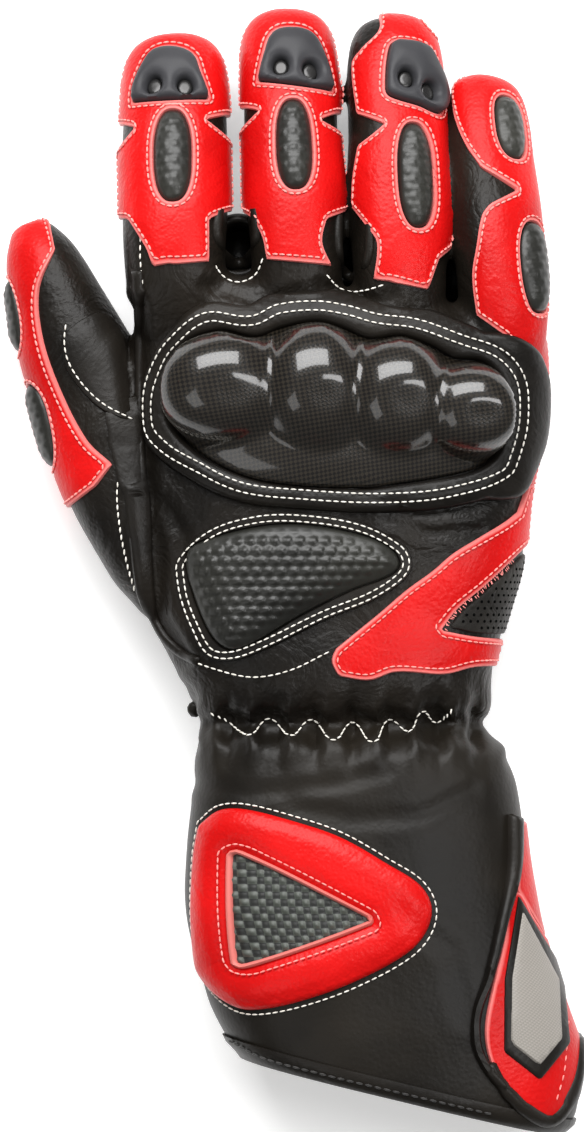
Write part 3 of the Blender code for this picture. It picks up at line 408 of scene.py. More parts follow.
def node(tree, kind, **values):
    """A node in a tree, with its inputs and settings by name."""
    made = tree.nodes.new(kind)
    for key, value in values.items():
        label = key.replace("_", " ")
        if label in made.inputs:
            made.inputs[label].default_value = value
        else:
            setattr(made, key, value)
    return made


def mixed(tree, factor, one, two):
    """A colour between two, each a plain colour or another node's output."""
    blend = node(tree, "ShaderNodeMix", data_type="RGBA")
    tree.links.new(factor, blend.inputs["Factor"])
    sockets = [socket for socket in blend.inputs if socket.type == "RGBA"]
    for socket, colour in zip(sockets, (one, two)):
        if isinstance(colour, tuple):
            socket.default_value = (*colour, 1)
        else:
            tree.links.new(colour, socket)
    return next(socket for socket in blend.outputs if socket.type == "RGBA")


def plain_material(name, colour, roughness, **settings):
    """A surface in one colour, with any of the shader's other settings by name."""
    made = bpy.data.materials.new(name)
    made.use_nodes = True
    shader = shader_of(made)
    shader.inputs["Base Color"].default_value = (*colour, 1)
    shader.inputs["Roughness"].default_value = roughness
    for key, value in settings.items():
        shader.inputs[key.replace("_", " ")].default_value = value
    made.diffuse_color = (*colour, 1)
    return made


def grain_group():
    """Leather grain: fine pebbles, long soft wrinkles and patches that are worn or darker."""
    group = bpy.data.node_groups.new("leather grain", "ShaderNodeTree")
    for label in ("Pebbles", "Wrinkles", "Wrinkle Share"):
        group.interface.new_socket(label, in_out="INPUT", socket_type="NodeSocketFloat")
    for label in ("Height", "Patches"):
        group.interface.new_socket(label, in_out="OUTPUT", socket_type="NodeSocketFloat")
    links = group.links
    inside, result = node(group, "NodeGroupInput"), node(group, "NodeGroupOutput")
    where = node(group, "ShaderNodeTexCoord")
    pebbles = node(group, "ShaderNodeTexVoronoi", feature="SMOOTH_F1")
    links.new(where.outputs["Object"], pebbles.inputs["Vector"])
    links.new(inside.outputs["Pebbles"], pebbles.inputs["Scale"])
    wrinkles = node(group, "ShaderNodeTexNoise", Detail=6.0, Distortion=1.4)
    links.new(where.outputs["Object"], wrinkles.inputs["Vector"])
    links.new(inside.outputs["Wrinkles"], wrinkles.inputs["Scale"])
    creases = node(group, "ShaderNodeMath", operation="PINGPONG")
    creases.inputs[1].default_value = 0.12
    links.new(wrinkles.outputs["Fac"], creases.inputs[0])
    scaled = node(group, "ShaderNodeMath", operation="MULTIPLY")
    links.new(creases.outputs[0], scaled.inputs[0])
    links.new(inside.outputs["Wrinkle Share"], scaled.inputs[1])
    low = node(group, "ShaderNodeMath", operation="MULTIPLY_ADD")
    low.inputs[1].default_value = -0.06
    links.new(pebbles.outputs["Distance"], low.inputs[0])
    links.new(scaled.outputs[0], low.inputs[2])
    patches = node(group, "ShaderNodeTexNoise", Scale=26.0, Detail=3.0)
    links.new(where.outputs["Object"], patches.inputs["Vector"])
    links.new(low.outputs[0], result.inputs["Height"])
    links.new(patches.outputs["Fac"], result.inputs["Patches"])
    return group


GRAIN = grain_group()


def leather_material(name, dark, light, rough, bump, pebbles=900.0, wrinkles=60.0, share=0.6,
                     edge=None, shine=0.17):
    """Leather in two tones with grain. A cut edge in a paler colour follows the edge attribute."""
    made = plain_material(name, light, rough, Specular_IOR_Level=shine)
    tree, links, shader = made.node_tree, made.node_tree.links, shader_of(made)
    grain = node(tree, "ShaderNodeGroup", node_tree=GRAIN, Pebbles=pebbles, Wrinkles=wrinkles,
                 Wrinkle_Share=share)
    spread = node(tree, "ShaderNodeMapRange", From_Min=0.35, From_Max=0.65)
    links.new(grain.outputs["Patches"], spread.inputs["Value"])
    colour = mixed(tree, spread.outputs["Result"], dark, light)
    if edge:
        worn = node(tree, "ShaderNodeAttribute", attribute_name="edge")
        near = node(tree, "ShaderNodeMapRange", From_Min=0.50, From_Max=1.15, To_Min=1.0, To_Max=0.0)
        links.new(worn.outputs["Fac"], near.inputs["Value"])
        colour = mixed(tree, near.outputs["Result"], colour, edge)
    links.new(colour, shader.inputs["Base Color"])
    relief = node(tree, "ShaderNodeBump", Strength=1.0, Distance=bump)
    links.new(grain.outputs["Height"], relief.inputs["Height"])
    links.new(relief.outputs["Normal"], shader.inputs["Normal"])
    sheen = node(tree, "ShaderNodeMapRange", To_Min=rough - 0.06, To_Max=rough + 0.08)
    links.new(grain.outputs["Patches"], sheen.inputs["Value"])
    links.new(sheen.outputs["Result"], shader.inputs["Roughness"])
    return made


BLACK_LEATHER = leather_material("black leather", (0.0038, 0.0030, 0.0022), (0.0125, 0.0098, 0.0072),
                                 0.38, 0.0020)
CUFF_LEATHER = leather_material("smooth cuff leather", (0.0040, 0.0032, 0.0023),
                                (0.0120, 0.0096, 0.0068), 0.42, 0.0010, wrinkles=26.0, share=0.35)
LEATHER_NODES = {"hand_back": "hand_back", "palm": "palm", "cuff": "cuff", "thumb": "thumb",
                 "index": "index_finger", "middle": "middle_finger", "ring": "ring_finger",
                 "little": "little_finger"}


def add_piece(name, mesh, material, replaces=(), sharp=40.0):
    """Put a finished mesh on the glove."""
    mesh.materials.clear()
    mesh.materials.append(material)
    mesh.shade_smooth()
    mesh.set_sharp_from_angle(angle=math.radians(sharp))
    piece = placed(name, mesh)
    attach(piece, "root")
    if replaces:
        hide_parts(*replaces)
    return piece


labels = [part_of(Vector(skin_points[list(face)].mean(axis=0))) for face in skin_faces]
for label, solid in LEATHER_NODES.items():
    own = [face for face, mark in zip(skin_faces, labels) if mark == label]
    used = sorted({k for face in own for k in face})
    number = {k: n for n, k in enumerate(used)}
    mesh = mesh_of(label + "_leather", skin_points[used], [[number[k] for k in face] for face in own])
    part = placed("part", mesh)
    wall = part.modifiers.new("Thickness", "SOLIDIFY")
    wall.thickness = LEATHER
    wall.offset = -1.0
    add_piece(label + "_leather", settled(part), CUFF_LEATHER if label == "cuff" else BLACK_LEATHER,
              [solid])

# Flat pieces on the leather: each is cut to an outline, laid on the leather round the finger or the
# hand, and sewn down. A piece is at one place along a limb and at one place around it, so that it
# wraps down the side as real leather does.
ROUND_RADIUS = 0.020
# the radius of a limb's round end in shares of half its width, and how far pieces bend over it
TIP_SIZE, FINGER_TIP_SIZE, MOST_BEND = {"thumb": 0.72}, 0.95, 1.6
# how far round the sides a piece can go, as an angle
FINGER_WRAP, THUMB_WRAP, HAND_WRAP = 1.66, 2.10, 1.7
# how far out from a limb's spine its leather can be, and where a piece lies where there is none
REACH, FINGER_REACH, NO_LEATHER = {"hand": 1.0, "cuff": 1.0, "thumb": 0.03}, 0.0170, 0.012
LINE_STEP = 0.0011


def tip_start(name):
    """How far along a limb its round end starts, and the end's radius."""
    _, length, width, _, _ = limb_plan(name)
    radius = width / 2 * TIP_SIZE.get(name, FINGER_TIP_SIZE)
    return 0.985 * length - radius, radius


def limb_ray(name):
    """For a place round and along a limb, the spine point below it and the way out from there."""
    length, width = limb_plan(name)[1:3]
    start, radius = tip_start(name)

    def ray(around, along):
        centre, across, forward, up = limb_frame(name, min(along, start) / length)
        angle = around / (width / 2)
        bend = max(along - start, 0.0) / radius
        ahead = up * math.cos(bend) + forward * math.sin(bend)
        return centre, ahead * math.cos(angle) + across * math.sin(angle)
    return ray


def leather_below(x, y):
    """The top of the leather at a point seen from above."""
    return leather_skin.ray_cast(Vector((x, y, 0.1)), Vector((0, 0, -1)))[0]


def limb_flat(name, most):
    """The place round and along a limb of a point seen from above; most is the widest angle."""
    root, length, width, lean, _ = limb_plan(name)
    ahead, side = plan_axes(lean)
    start, radius = tip_start(name)
    end, end_over, end_forward, end_up = limb_frame(name, start / length)

    def flat(point):
        along = (point - root).dot(ahead) / length
        across = (point - root).dot(side)
        found = leather_below(point.x, point.y)
        if abs(across) > 0.60 * width or along > 1.06:
            found = None
        if found is not None:
            off = found - end
            if off.dot(end_forward) > 0 and off.dot(end_up) > -0.2 * radius:
                angle = math.asin(max(-1.0, min(1.0, off.dot(end_over) / off.length)))
                bend = math.atan2(off.dot(end_forward), off.dot(end_up))
                return angle * width / 2, start + min(bend, MOST_BEND) * radius
            for _ in range(4):
                centre, over, forward, up = limb_frame(name, along)
                along += (found - centre).dot(forward) / length
            along = min(along, start / length)
            centre, over, forward, up = limb_frame(name, along)
            angle = math.atan2((found - centre).dot(over), (found - centre).dot(up))
            if abs(angle) < most and (abs(across) < 0.42 * width or angle * across > 0):
                return angle * width / 2, along * length
        along = (point - root).dot(ahead)
        if along > start:
            angle = math.atan2(across, along - start)
            return angle * width / 2, start + MOST_BEND * radius
        return math.copysign(most, across) * width / 2, along
    return flat


def hand_at(y):
    """Middle and half width of the hand's or the cuff's top at a place along it."""
    x = np.interp(y, hand_flow[::-1, 0], hand_flow[::-1, 1])
    width = np.interp(y, hand_flow[::-1, 0], hand_flow[::-1, 2])
    return x, width / 2 - ROUND_RADIUS


def hand_ray(around, along):
    """For a place across and along the hand or the cuff, the point below it and the way out."""
    middle, half = hand_at(along)
    if abs(around) <= half:
        return Vector((middle + around, along, ROUND_RADIUS)), Vector((0, 0, 1))
    side = math.copysign(1.0, around)
    angle = (abs(around) - half) / ROUND_RADIUS
    return (Vector((middle + side * half, along, ROUND_RADIUS)),
            Vector((side * math.sin(angle), 0, math.cos(angle))))


def hand_flat(point):
    """The place across and along the hand or the cuff of a point seen from above."""
    middle, half = hand_at(point.y)
    off = point.x - middle
    if abs(off) <= half:
        return off, point.y
    found = leather_below(point.x, point.y)
    angle = HAND_WRAP
    if found is not None:
        angle = min(HAND_WRAP, math.atan2(abs(off) - half, found.z - ROUND_RADIUS))
    return math.copysign(half + angle * ROUND_RADIUS, off), point.y


ON = {name: (limb_ray(name), limb_flat(name, FINGER_WRAP)) for name, *_ in FINGERS}
ON["thumb"] = (limb_ray("thumb"), limb_flat("thumb", THUMB_WRAP))
ON["hand"] = ON["cuff"] = (hand_ray, hand_flat)


def seen_from_above(limb, outline):
    """An outline's corners in metres, each with its sharp mark."""
    made = []
    for entry in outline:
        if limb == "hand":
            place = Vector((entry[0] * HAND_WIDTH, entry[1] * HAND_LENGTH, 0))
        elif limb == "cuff":
            place = Vector((wrist.x + entry[0] * CUFF_WIDTH, wrist.y - entry[1] * CUFF_LENGTH, 0))
        else:
            root, length, width, lean, _ = limb_plan(limb)
            ahead, side = plan_axes(lean)
            place = root + ahead * entry[1] * length + side * entry[0] * width
        made.append((place, len(entry) > 2))
    return made


def smooth_loop(corners, step, closed):
    """A smooth line through corners that stays straight beside a sharp one."""
    count = len(corners)
    made = []
    for k in range(count if closed else count - 1):
        a, sharp_a = corners[k]
        b, sharp_b = corners[(k + 1) % count]
        size = (b - a).length
        before = corners[k - 1][0] if closed or k > 0 else a
        after = corners[(k + 2) % count][0] if closed or k + 2 < count else b
        leave = (b - a) if sharp_a else (b - before).normalized() * size
        arrive = (b - a) if sharp_b else (after - a).normalized() * size
        parts = max(1, round(size / step))
        made += [eased(a, leave, b, arrive, j / parts) for j in range(parts)]
    if not closed:
        made.append(corners[-1][0])
    return made


def even(path, step, closed=True):
    """The same line with points at an even distance."""
    path = np.array(path)
    if closed:
        path = np.concatenate([path, path[:1]])
    far = np.concatenate([[0], np.cumsum(np.linalg.norm(np.diff(path, axis=0), axis=1))])
    count = max(6, int(round(far[-1] / step)))
    at = np.linspace(0, far[-1], count, endpoint=not closed)
    return np.stack([np.interp(at, far, path[:, k]) for k in range(path.shape[1])], axis=1)


def places_of(limb, corners, step, closed):
    """A smooth line of places round and along a limb, through corners seen from above."""
    flat = ON[limb][1]
    return even([flat(point) for point in smooth_loop(corners, step, closed)], step, closed)


def flat_loop(limb, outline, step=LINE_STEP):
    """An outline as a closed line of places round and along its limb."""
    return places_of(limb, seen_from_above(limb, outline), step, True)


def distance_to_loop(points, loop):
    """Distance of each place from a closed line, worked out for a few hundred at a time."""
    along = np.roll(loop, -1, axis=0) - loop
    square = np.maximum((along ** 2).sum(1), 1e-14)
    best = np.zeros(len(points))
    for k in range(0, len(points), 400):
        some = points[k:k + 400]
        gap = some[:, None, :] - loop[None]
        share = np.clip((gap * along[None]).sum(2) / square[None], 0, 1)
        best[k:k + 400] = np.sqrt(((gap - share[..., None] * along[None]) ** 2).sum(2)).min(1)
    return best


def is_inside(points, loops):
    """Whether each point is inside the first loop and outside the others."""
    crossings = np.zeros(len(points), int)
    x, y = points[:, 0], points[:, 1]
    for loop in loops:
        after = np.roll(loop, -1, axis=0)
        for (x0, y0), (x1, y1) in zip(loop, after):
            if y0 == y1:
                continue
            hit = (y0 > y) != (y1 > y)
            crossings += hit & (x < (x1 - x0) * (y - y0) / (y1 - y0) + x0)
    return crossings % 2 == 1


def inset_loop(loop, inset):
    """A line at one distance inside a loop, or outside where the distance is negative."""
    after, before = np.roll(loop, -1, axis=0), np.roll(loop, 1, axis=0)
    way = after - before
    way /= np.maximum(np.linalg.norm(way, axis=1), 1e-9)[:, None]
    area = (loop[:, 0] * after[:, 1] - after[:, 0] * loop[:, 1]).sum()
    inward = np.stack([-way[:, 1], way[:, 0]], 1) * math.copysign(1, area)
    moved = loop + inward * inset
    return moved[distance_to_loop(moved, loop) > 0.93 * abs(inset)]


def on_leather(limb, places, lift=0.0):
    """Points on the leather at places round and along a limb, and the way out of it there."""
    ray = ON[limb][0]
    reach = REACH.get(limb, FINGER_REACH)
    points, ways = [], []
    for around, along in places:
        start, way = ray(around, along)
        found = leather_skin.ray_cast(start, way)[0]
        if found is None or (found - start).length > reach:
            found = start + way * NO_LEATHER
        points.append(found + way * lift)
        ways.append(way)
    return np.array(points), np.array(ways)


def relief_of(points, triangles, ways):
    """Normals of a laid piece, which all look out of the limb."""
    tri = np.array(triangles)
    cross = np.cross(points[tri[:, 1]] - points[tri[:, 0]], points[tri[:, 2]] - points[tri[:, 0]])
    outward = (cross * ways[tri[:, 0]]).sum(1) > 0
    tri[~outward] = tri[~outward][:, ::-1]
    cross[~outward] *= -1
    normals = np.zeros_like(points)
    for k in range(3):
        np.add.at(normals, tri[:, k], cross)
    normals /= np.maximum(np.linalg.norm(normals, axis=1), 1e-12)[:, None]
    return normals, tri


def dome(far, reach):
    """A rise from 0 at a piece's edge to 1 at some distance inside it."""
    return 1 - (1 - np.clip(far / reach, 0, 1)) ** 2


# how far a piece sinks into the leather, half the width of a stitched groove, and how much a round
# of softening moves a piece
SINK, GROOVE = 0.0003, 0.0006
SETTLE_DOWN, SETTLE_SHARE = -0.0002, 0.6


def lay(name, limb, loops, thickness, step=0.0012, edge=0.0007, shape=None, grooves=(), soft=0):
    """A closed piece on the leather: flat loops, the first its outline and the rest its windows.

    Shape gives more height from the flat places, the distance to the edge and the points. Grooves
    are pairs of a distance to the edge and a depth, where a row of stitches pulls the leather in.
    """
    extra = []
    for loop in loops:
        for far in (0.35 * edge, edge):
            for side in (1, -1):
                moved = inset_loop(loop, far * side)
                if len(moved):
                    moved = moved[is_inside(moved, loops)]
                if len(moved):
                    near = np.min([distance_to_loop(moved, other) for other in loops], axis=0)
                    extra.append(moved[near > 0.9 * far])
    low, high = loops[0].min(0), loops[0].max(0)
    rows = np.arange(low[1], high[1], step * 0.866)
    grid = np.array([(x + (j % 2) * step / 2, y) for j, y in enumerate(rows)
                     for x in np.arange(low[0], high[0], step)])
    grid = grid[is_inside(grid, loops)]
    near = np.min([distance_to_loop(grid, other) for other in loops], axis=0)
    extra.append(grid[near > edge + 0.4 * step])
    corners = np.concatenate(loops + extra)
    lines = []
    base = 0
    for loop in loops:
        lines += [(base + k, base + (k + 1) % len(loop)) for k in range(len(loop))]
        base += len(loop)
    made = geometry.delaunay_2d_cdt([Vector(c) for c in corners], lines, [], 0, 1e-7)
    flat = np.array([tuple(c) for c in made[0]])
    tri = np.array(made[2])
    tri = tri[is_inside(flat[tri].mean(1), loops)]
    used = np.unique(tri)
    number = np.full(len(flat), -1)
    number[used] = np.arange(len(used))
    flat, tri = flat[used], number[tri]
    far = np.min([distance_to_loop(flat, other) for other in loops], axis=0)
    points, ways = on_leather(limb, flat)
    normals, tri = relief_of(points, tri, ways)
    if soft:
        links = np.concatenate([tri[:, [0, 1]], tri[:, [1, 2]], tri[:, [2, 0]]])
        for _ in range(soft):
            total, count = np.zeros_like(points), np.zeros(len(points))
            for a, b in ((0, 1), (1, 0)):
                np.add.at(total, links[:, a], points[links[:, b]])
                np.add.at(count, links[:, a], 1)
            lifted = (((total / count[:, None]) - points) * normals).sum(1)
            points = points + normals * np.maximum(lifted, SETTLE_DOWN)[:, None] * SETTLE_SHARE
        normals, tri = relief_of(points, tri, ways)
    round_off = np.sqrt(np.clip(dome(far, edge), 0, 1))
    height = thickness * (0.45 + 0.55 * round_off)
    for inset, depth in grooves:
        height -= depth * np.exp(-((far - inset) / GROOVE) ** 2)
    if shape:
        height = height + shape(flat, far, points)
    top = points + normals * height[:, None]
    bottom = points - normals * SINK
    count = len(flat)
    sides = dict.fromkeys(pair for a, b, c in tri.tolist() for pair in ((a, b), (b, c), (c, a)))
    walls = [(a + count, b + count, b, a) for a, b in sides if (b, a) not in sides]
    shell = np.concatenate([top, bottom])
    shell[:, 2] = np.maximum(shell[:, 2], 0.0)
    mesh = mesh_of(name, shell, tri.tolist() + (tri[:, ::-1] + count).tolist() + walls)
    mark = mesh.attributes.new("edge", "FLOAT", "POINT")
    mark.data.foreach_set("value", np.concatenate([far * 1000, far * 0]).astype(np.float32))
    layer = mesh.uv_layers.new(name="flat")
    both = np.concatenate([flat, flat])
    corner = np.zeros(len(mesh.loops), np.int32)
    mesh.loops.foreach_get("vertex_index", corner)
    layer.data.foreach_set("uv", (both[corner] * 100).astype(np.float32).ravel())
    return mesh


def fasten(name, limb, loops, thickness, material, slot=None, replaces=(), sharp=40.0, **form):
    """Lay a flat piece on the leather and fix it there."""
    return add_piece(name, lay(name, limb, loops, thickness, **form), material, replaces, sharp)


def stitch_tree():
    """Thread along marked lines: one plump stitch after another, lying flat on the leather."""
    tree = bpy.data.node_groups.new("stitches", "GeometryNodeTree")
    tree.interface.new_socket("Geometry", in_out="INPUT", socket_type="NodeSocketGeometry")
    for label in ("Pitch", "Stitch Length", "Thread Width"):
        tree.interface.new_socket(label, in_out="INPUT", socket_type="NodeSocketFloat")
    tree.interface.new_socket("Thread", in_out="INPUT", socket_type="NodeSocketMaterial")
    tree.interface.new_socket("Geometry", in_out="OUTPUT", socket_type="NodeSocketGeometry")
    links = tree.links
    given, result = node(tree, "NodeGroupInput"), node(tree, "NodeGroupOutput")
    line = node(tree, "GeometryNodeMeshToCurve")
    spaced = node(tree, "GeometryNodeResampleCurve", mode="LENGTH")
    links.new(given.outputs["Geometry"], line.inputs["Mesh"])
    links.new(line.outputs["Curve"], spaced.inputs["Curve"])
    links.new(given.outputs["Pitch"], spaced.inputs["Length"])
    ball = node(tree, "GeometryNodeMeshUVSphere", Segments=7, Rings=5, Radius=0.5)
    size = node(tree, "ShaderNodeCombineXYZ")
    links.new(given.outputs["Stitch Length"], size.inputs["X"])
    links.new(given.outputs["Thread Width"], size.inputs["Y"])
    links.new(given.outputs["Thread Width"], size.inputs["Z"])
    stitch = node(tree, "GeometryNodeTransform")
    links.new(ball.outputs["Mesh"], stitch.inputs["Geometry"])
    links.new(size.outputs["Vector"], stitch.inputs["Scale"])
    outward = node(tree, "GeometryNodeInputNamedAttribute", data_type="FLOAT_VECTOR", Name="outward")
    stand = node(tree, "FunctionNodeAlignRotationToVector", axis="Z")
    links.new(outward.outputs["Attribute"], stand.inputs["Vector"])
    tangent = node(tree, "GeometryNodeInputTangent")
    turned = node(tree, "FunctionNodeAlignRotationToVector", axis="X", pivot_axis="Z")
    links.new(stand.outputs["Rotation"], turned.inputs["Rotation"])
    links.new(tangent.outputs["Tangent"], turned.inputs["Vector"])
    each = node(tree, "GeometryNodeInstanceOnPoints")
    links.new(spaced.outputs["Curve"], each.inputs["Points"])
    links.new(stitch.outputs["Geometry"], each.inputs["Instance"])
    links.new(turned.outputs["Rotation"], each.inputs["Rotation"])
    real = node(tree, "GeometryNodeRealizeInstances")
    links.new(each.outputs["Instances"], real.inputs["Geometry"])
    paint = node(tree, "GeometryNodeSetMaterial")
    links.new(real.outputs["Geometry"], paint.inputs["Geometry"])
    links.new(given.outputs["Thread"], paint.inputs["Material"])
    links.new(paint.outputs["Geometry"], result.inputs["Geometry"])
    return tree


STITCHES = stitch_tree()
SOCKET = {item.name: item.identifier for item in STITCHES.interface.items_tree if item.in_out == "INPUT"}


def thread_material(name, colour, shade):
    """Dull twisted thread, darker between its plies."""
    made = plain_material(name, colour, 0.62, Sheen_Weight=0.25)
    tree = made.node_tree
    twist = node(tree, "ShaderNodeTexNoise", Scale=900.0, Detail=2.0)
    where = node(tree, "ShaderNodeTexCoord")
    tree.links.new(where.outputs["Object"], twist.inputs["Vector"])
    ramp = node(tree, "ShaderNodeValToRGB")
    ramp.color_ramp.elements[0].color = (*shade, 1)
    ramp.color_ramp.elements[1].color = (*colour, 1)
    ramp.color_ramp.elements[0].position = 0.3
    ramp.color_ramp.elements[1].position = 0.6
    tree.links.new(twist.outputs["Fac"], ramp.inputs["Fac"])
    tree.links.new(ramp.outputs["Color"], shader_of(made).inputs["Base Color"])
    return made


WHITE_THREAD = thread_material("white thread", (0.80, 0.77, 0.70), (0.55, 0.52, 0.46))
RED_THREAD = thread_material("pale red thread", (0.90, 0.30, 0.27), (0.72, 0.16, 0.14))


def sew(name, rows, thread, pitch, long, wide):
    """Stitches along rows, each a limb, its flat places, a lift above the leather and if it closes."""
    points, outward, lines = [], [], []
    base = 0
    for limb, places, lift, closed in rows:
        if len(places) < 3:
            continue
        row, ways = on_leather(limb, places, lift)
        points.append(row)
        outward.append(ways)
        lines += [(base + k, base + k + 1) for k in range(len(row) - 1)]
        if closed:
            lines.append((base + len(row) - 1, base))
        base += len(row)
    mesh = mesh_of(name, np.concatenate(points), [], lines)
    mark = mesh.attributes.new("outward", "FLOAT_VECTOR", "POINT")
    mark.data.foreach_set("vector", np.concatenate(outward).astype(np.float32).ravel())
    line = placed(name, mesh)
    sewing = line.modifiers.new("Stitches", "NODES")
    sewing.node_group = STITCHES
    sewing[SOCKET["Pitch"]] = pitch
    sewing[SOCKET["Stitch Length"]] = long
    sewing[SOCKET["Thread Width"]] = wide
    sewing[SOCKET["Thread"]] = thread
    return add_piece(name, settled(line), thread, sharp=80)


# The red overlays of the fingers and the thumb: smooth coated leather with a paler raw edge, sewn
# all round, with a window for each padded oval and for the hard tip.
RED = 0.0013
RED_TOP = RED + 0.0001
# the play between a piece and the edge of the window that it sits in
GAP = 0.0002
RED_LEATHER = leather_material("red leather", (0.42, 0.002, 0.002), (0.60, 0.004, 0.004), 0.36, 0.0018,
                               pebbles=1100.0, wrinkles=34.0, share=0.5, edge=(0.66, 0.15, 0.14),
                               shine=0.16)
INDEX_RED = [
    (-0.220, 1.030, "S"), (0.240, 1.030, "S"), (0.450, 0.920), (0.600, 0.776),
    (0.620, 0.673, "S"), (0.294, 0.631, "S"), (0.600, 0.520, "S"), (0.630, 0.404),
    (0.630, 0.270, "S"), (0.315, 0.204, "S"), (0.312, 0.024, "S"), (-0.204, 0.001, "S"),
    (-0.261, 0.078, "S"), (-0.424, 0.207, "S"), (-0.630, 0.229, "S"), (-0.630, 0.387),
    (-0.630, 0.480), (-0.486, 0.532, "S"), (-0.358, 0.600, "S"), (-0.630, 0.640, "S"),
    (-0.620, 0.806), (-0.440, 0.940),
]
MIDDLE_RED = [
    (-0.290, 1.010, "S"), (-0.074, 1.030), (0.160, 1.020, "S"), (0.420, 0.950),
    (0.610, 0.791), (0.620, 0.613, "S"), (0.298, 0.563, "S"), (0.600, 0.500, "S"),
    (0.620, 0.376), (0.620, 0.227, "S"), (0.325, 0.180, "S"), (0.274, 0.092),
    (0.361, 0.003, "S"), (-0.294, 0.034, "S"), (-0.328, 0.119), (-0.406, 0.189, "S"),
    (-0.620, 0.263, "S"), (-0.630, 0.390), (-0.620, 0.505, "S"), (-0.324, 0.606, "S"),
    (-0.620, 0.637, "S"), (-0.620, 0.773), (-0.460, 0.930),
]
RING_RED = [
    (-0.178, 1.030, "S"), (0.200, 1.000), (0.450, 0.900, "S"), (0.620, 0.730),
    (0.620, 0.616), (0.620, 0.379), (0.600, 0.148, "S"), (0.384, 0.080, "S"),
    (0.269, -0.029, "S"), (-0.281, 0.014, "S"), (-0.237, 0.146), (-0.336, 0.209, "S"),
    (-0.465, 0.284, "S"), (-0.444, 0.390), (-0.381, 0.506, "S"), (-0.209, 0.552),
    (-0.113, 0.580, "S"), (-0.380, 0.623, "S"), (-0.404, 0.814), (-0.305, 0.864),
    (-0.121, 0.939),
]
LITTLE_RED = [
    (-0.329, 0.962, "S"), (-0.177, 0.995), (0.120, 1.030), (0.350, 0.960),
    (0.540, 0.780), (0.620, 0.568), (0.640, 0.362), (0.640, 0.164), (0.640, -0.105),
    (0.620, -0.341), (0.540, -0.600), (0.350, -0.760, "S"), (0.019, -0.770, "S"),
    (0.186, -0.563), (0.262, -0.375), (0.182, -0.226, "S"), (0.000, -0.120, "S"),
    (-0.292, -0.022, "S"), (-0.302, 0.141), (-0.235, 0.266), (-0.143, 0.399),
    (-0.043, 0.442, "S"), (0.278, 0.493, "S"), (-0.110, 0.599, "S"), (-0.257, 0.707),
    (-0.341, 0.839),
]
THUMB_RED = [
    (-0.200, 1.050, "S"), (0.120, 1.000, "S"), (0.086, 0.899, "S"), (-0.178, 0.806),
    (-0.298, 0.678), (-0.314, 0.525), (-0.235, 0.340), (-0.081, 0.245, "S"),
    (-0.295, 0.202, "S"), (-0.620, 0.172, "S"), (-0.650, 0.288), (-0.650, 0.443),
    (-0.650, 0.640), (-0.600, 0.790), (-0.450, 0.960),
]
INDEX_SLIDER = [
    (-0.365, 0.711, "S"), (0.306, 0.721, "S"), (0.230, 0.828), (0.163, 0.905),
    (-0.001, 0.936), (-0.176, 0.924), (-0.275, 0.864), (-0.354, 0.771),
]
MIDDLE_SLIDER = [
    (-0.303, 0.720, "S"), (0.415, 0.677, "S"), (0.352, 0.793), (0.234, 0.890),
    (0.034, 0.915), (-0.148, 0.898), (-0.241, 0.815),
]
RING_SLIDER = [
    (-0.040, 0.682), (-0.080, 0.708), (-0.024, 0.861), (0.062, 0.882), (0.333, 0.860),
    (0.420, 0.804), (0.480, 0.730), (0.480, 0.640), (0.430, 0.618), (0.249, 0.645),
]
# limb, name, place along, angle from the top towards +X in degrees, half width, half length
OVAL_PADS = [
    ("index", "index_pad", 0.419, -2.0, 0.185, 0.184),
    ("middle", "middle_pad", 0.429, 3.0, 0.200, 0.165),
    ("ring", "ring_pad", 0.356, 24.0, 0.200, 0.183),
    ("little", "little_upper_pad", 0.730, 40.0, 0.230, 0.140),
    ("little", "little_lower_pad", 0.150, 62.0, 0.260, 0.180),
    ("thumb", "thumb_upper_pad", 0.760, -86.0, 0.200, 0.105),
    ("thumb", "thumb_lower_pad", 0.425, -82.0, 0.200, 0.125),
]
reds = {"index": INDEX_RED, "middle": MIDDLE_RED, "ring": RING_RED, "little": LITTLE_RED,
        "thumb": THUMB_RED}
tips = {"index": INDEX_SLIDER, "middle": MIDDLE_SLIDER, "ring": RING_SLIDER}


def oval_loop(limb, along, angle, half_width, half_length, more=0.0):
    """A padded oval's loop: a stadium round and along its limb."""
    _, length, width, _, roll = limb_plan(limb)
    turns = np.linspace(0, 2 * math.pi, 60, endpoint=False)
    c, s = np.cos(turns), np.sin(turns)
    wide, tall = half_width * width + more, half_length * length + more
    middle = math.radians(angle - roll) * width / 2
    x = middle + wide * np.sign(c) * np.abs(c) ** 0.8
    y = along * length + tall * np.sign(s) * np.abs(s) ** 0.8
    return np.stack([x, y], 1)


red_rows = []
oval_loops = {}
tip_loops = {}
for finger, outline in reds.items():
    loops = [flat_loop(finger, outline)]
    for limb, pad_name, along, angle, half_width, half_length in OVAL_PADS:
        if limb == finger:
            oval_loops[pad_name] = oval_loop(limb, along, angle, half_width, half_length)
            window = oval_loop(limb, along, angle, half_width, half_length, GAP)
            loops.append(window)
            red_rows.append((finger, inset_loop(window, -0.0013), RED_TOP, True))
    if finger in tips:
        tip_loops[finger] = flat_loop(finger, tips[finger], 0.0008)
        loops.append(inset_loop(tip_loops[finger], -GAP))
        red_rows.append((finger, inset_loop(tip_loops[finger], -0.0015), RED_TOP, True))
    red_rows.append((finger, inset_loop(loops[0], 0.0014), RED_TOP, True))
    fasten(finger + "_red_leather", finger, loops, RED, RED_LEATHER, "red_leather", [finger + "_overlay"],
           grooves=[(0.0014, 0.00025)])
sew("finger_stitching", red_rows, RED_THREAD, pitch=0.0020, long=0.0018, wide=0.0006)

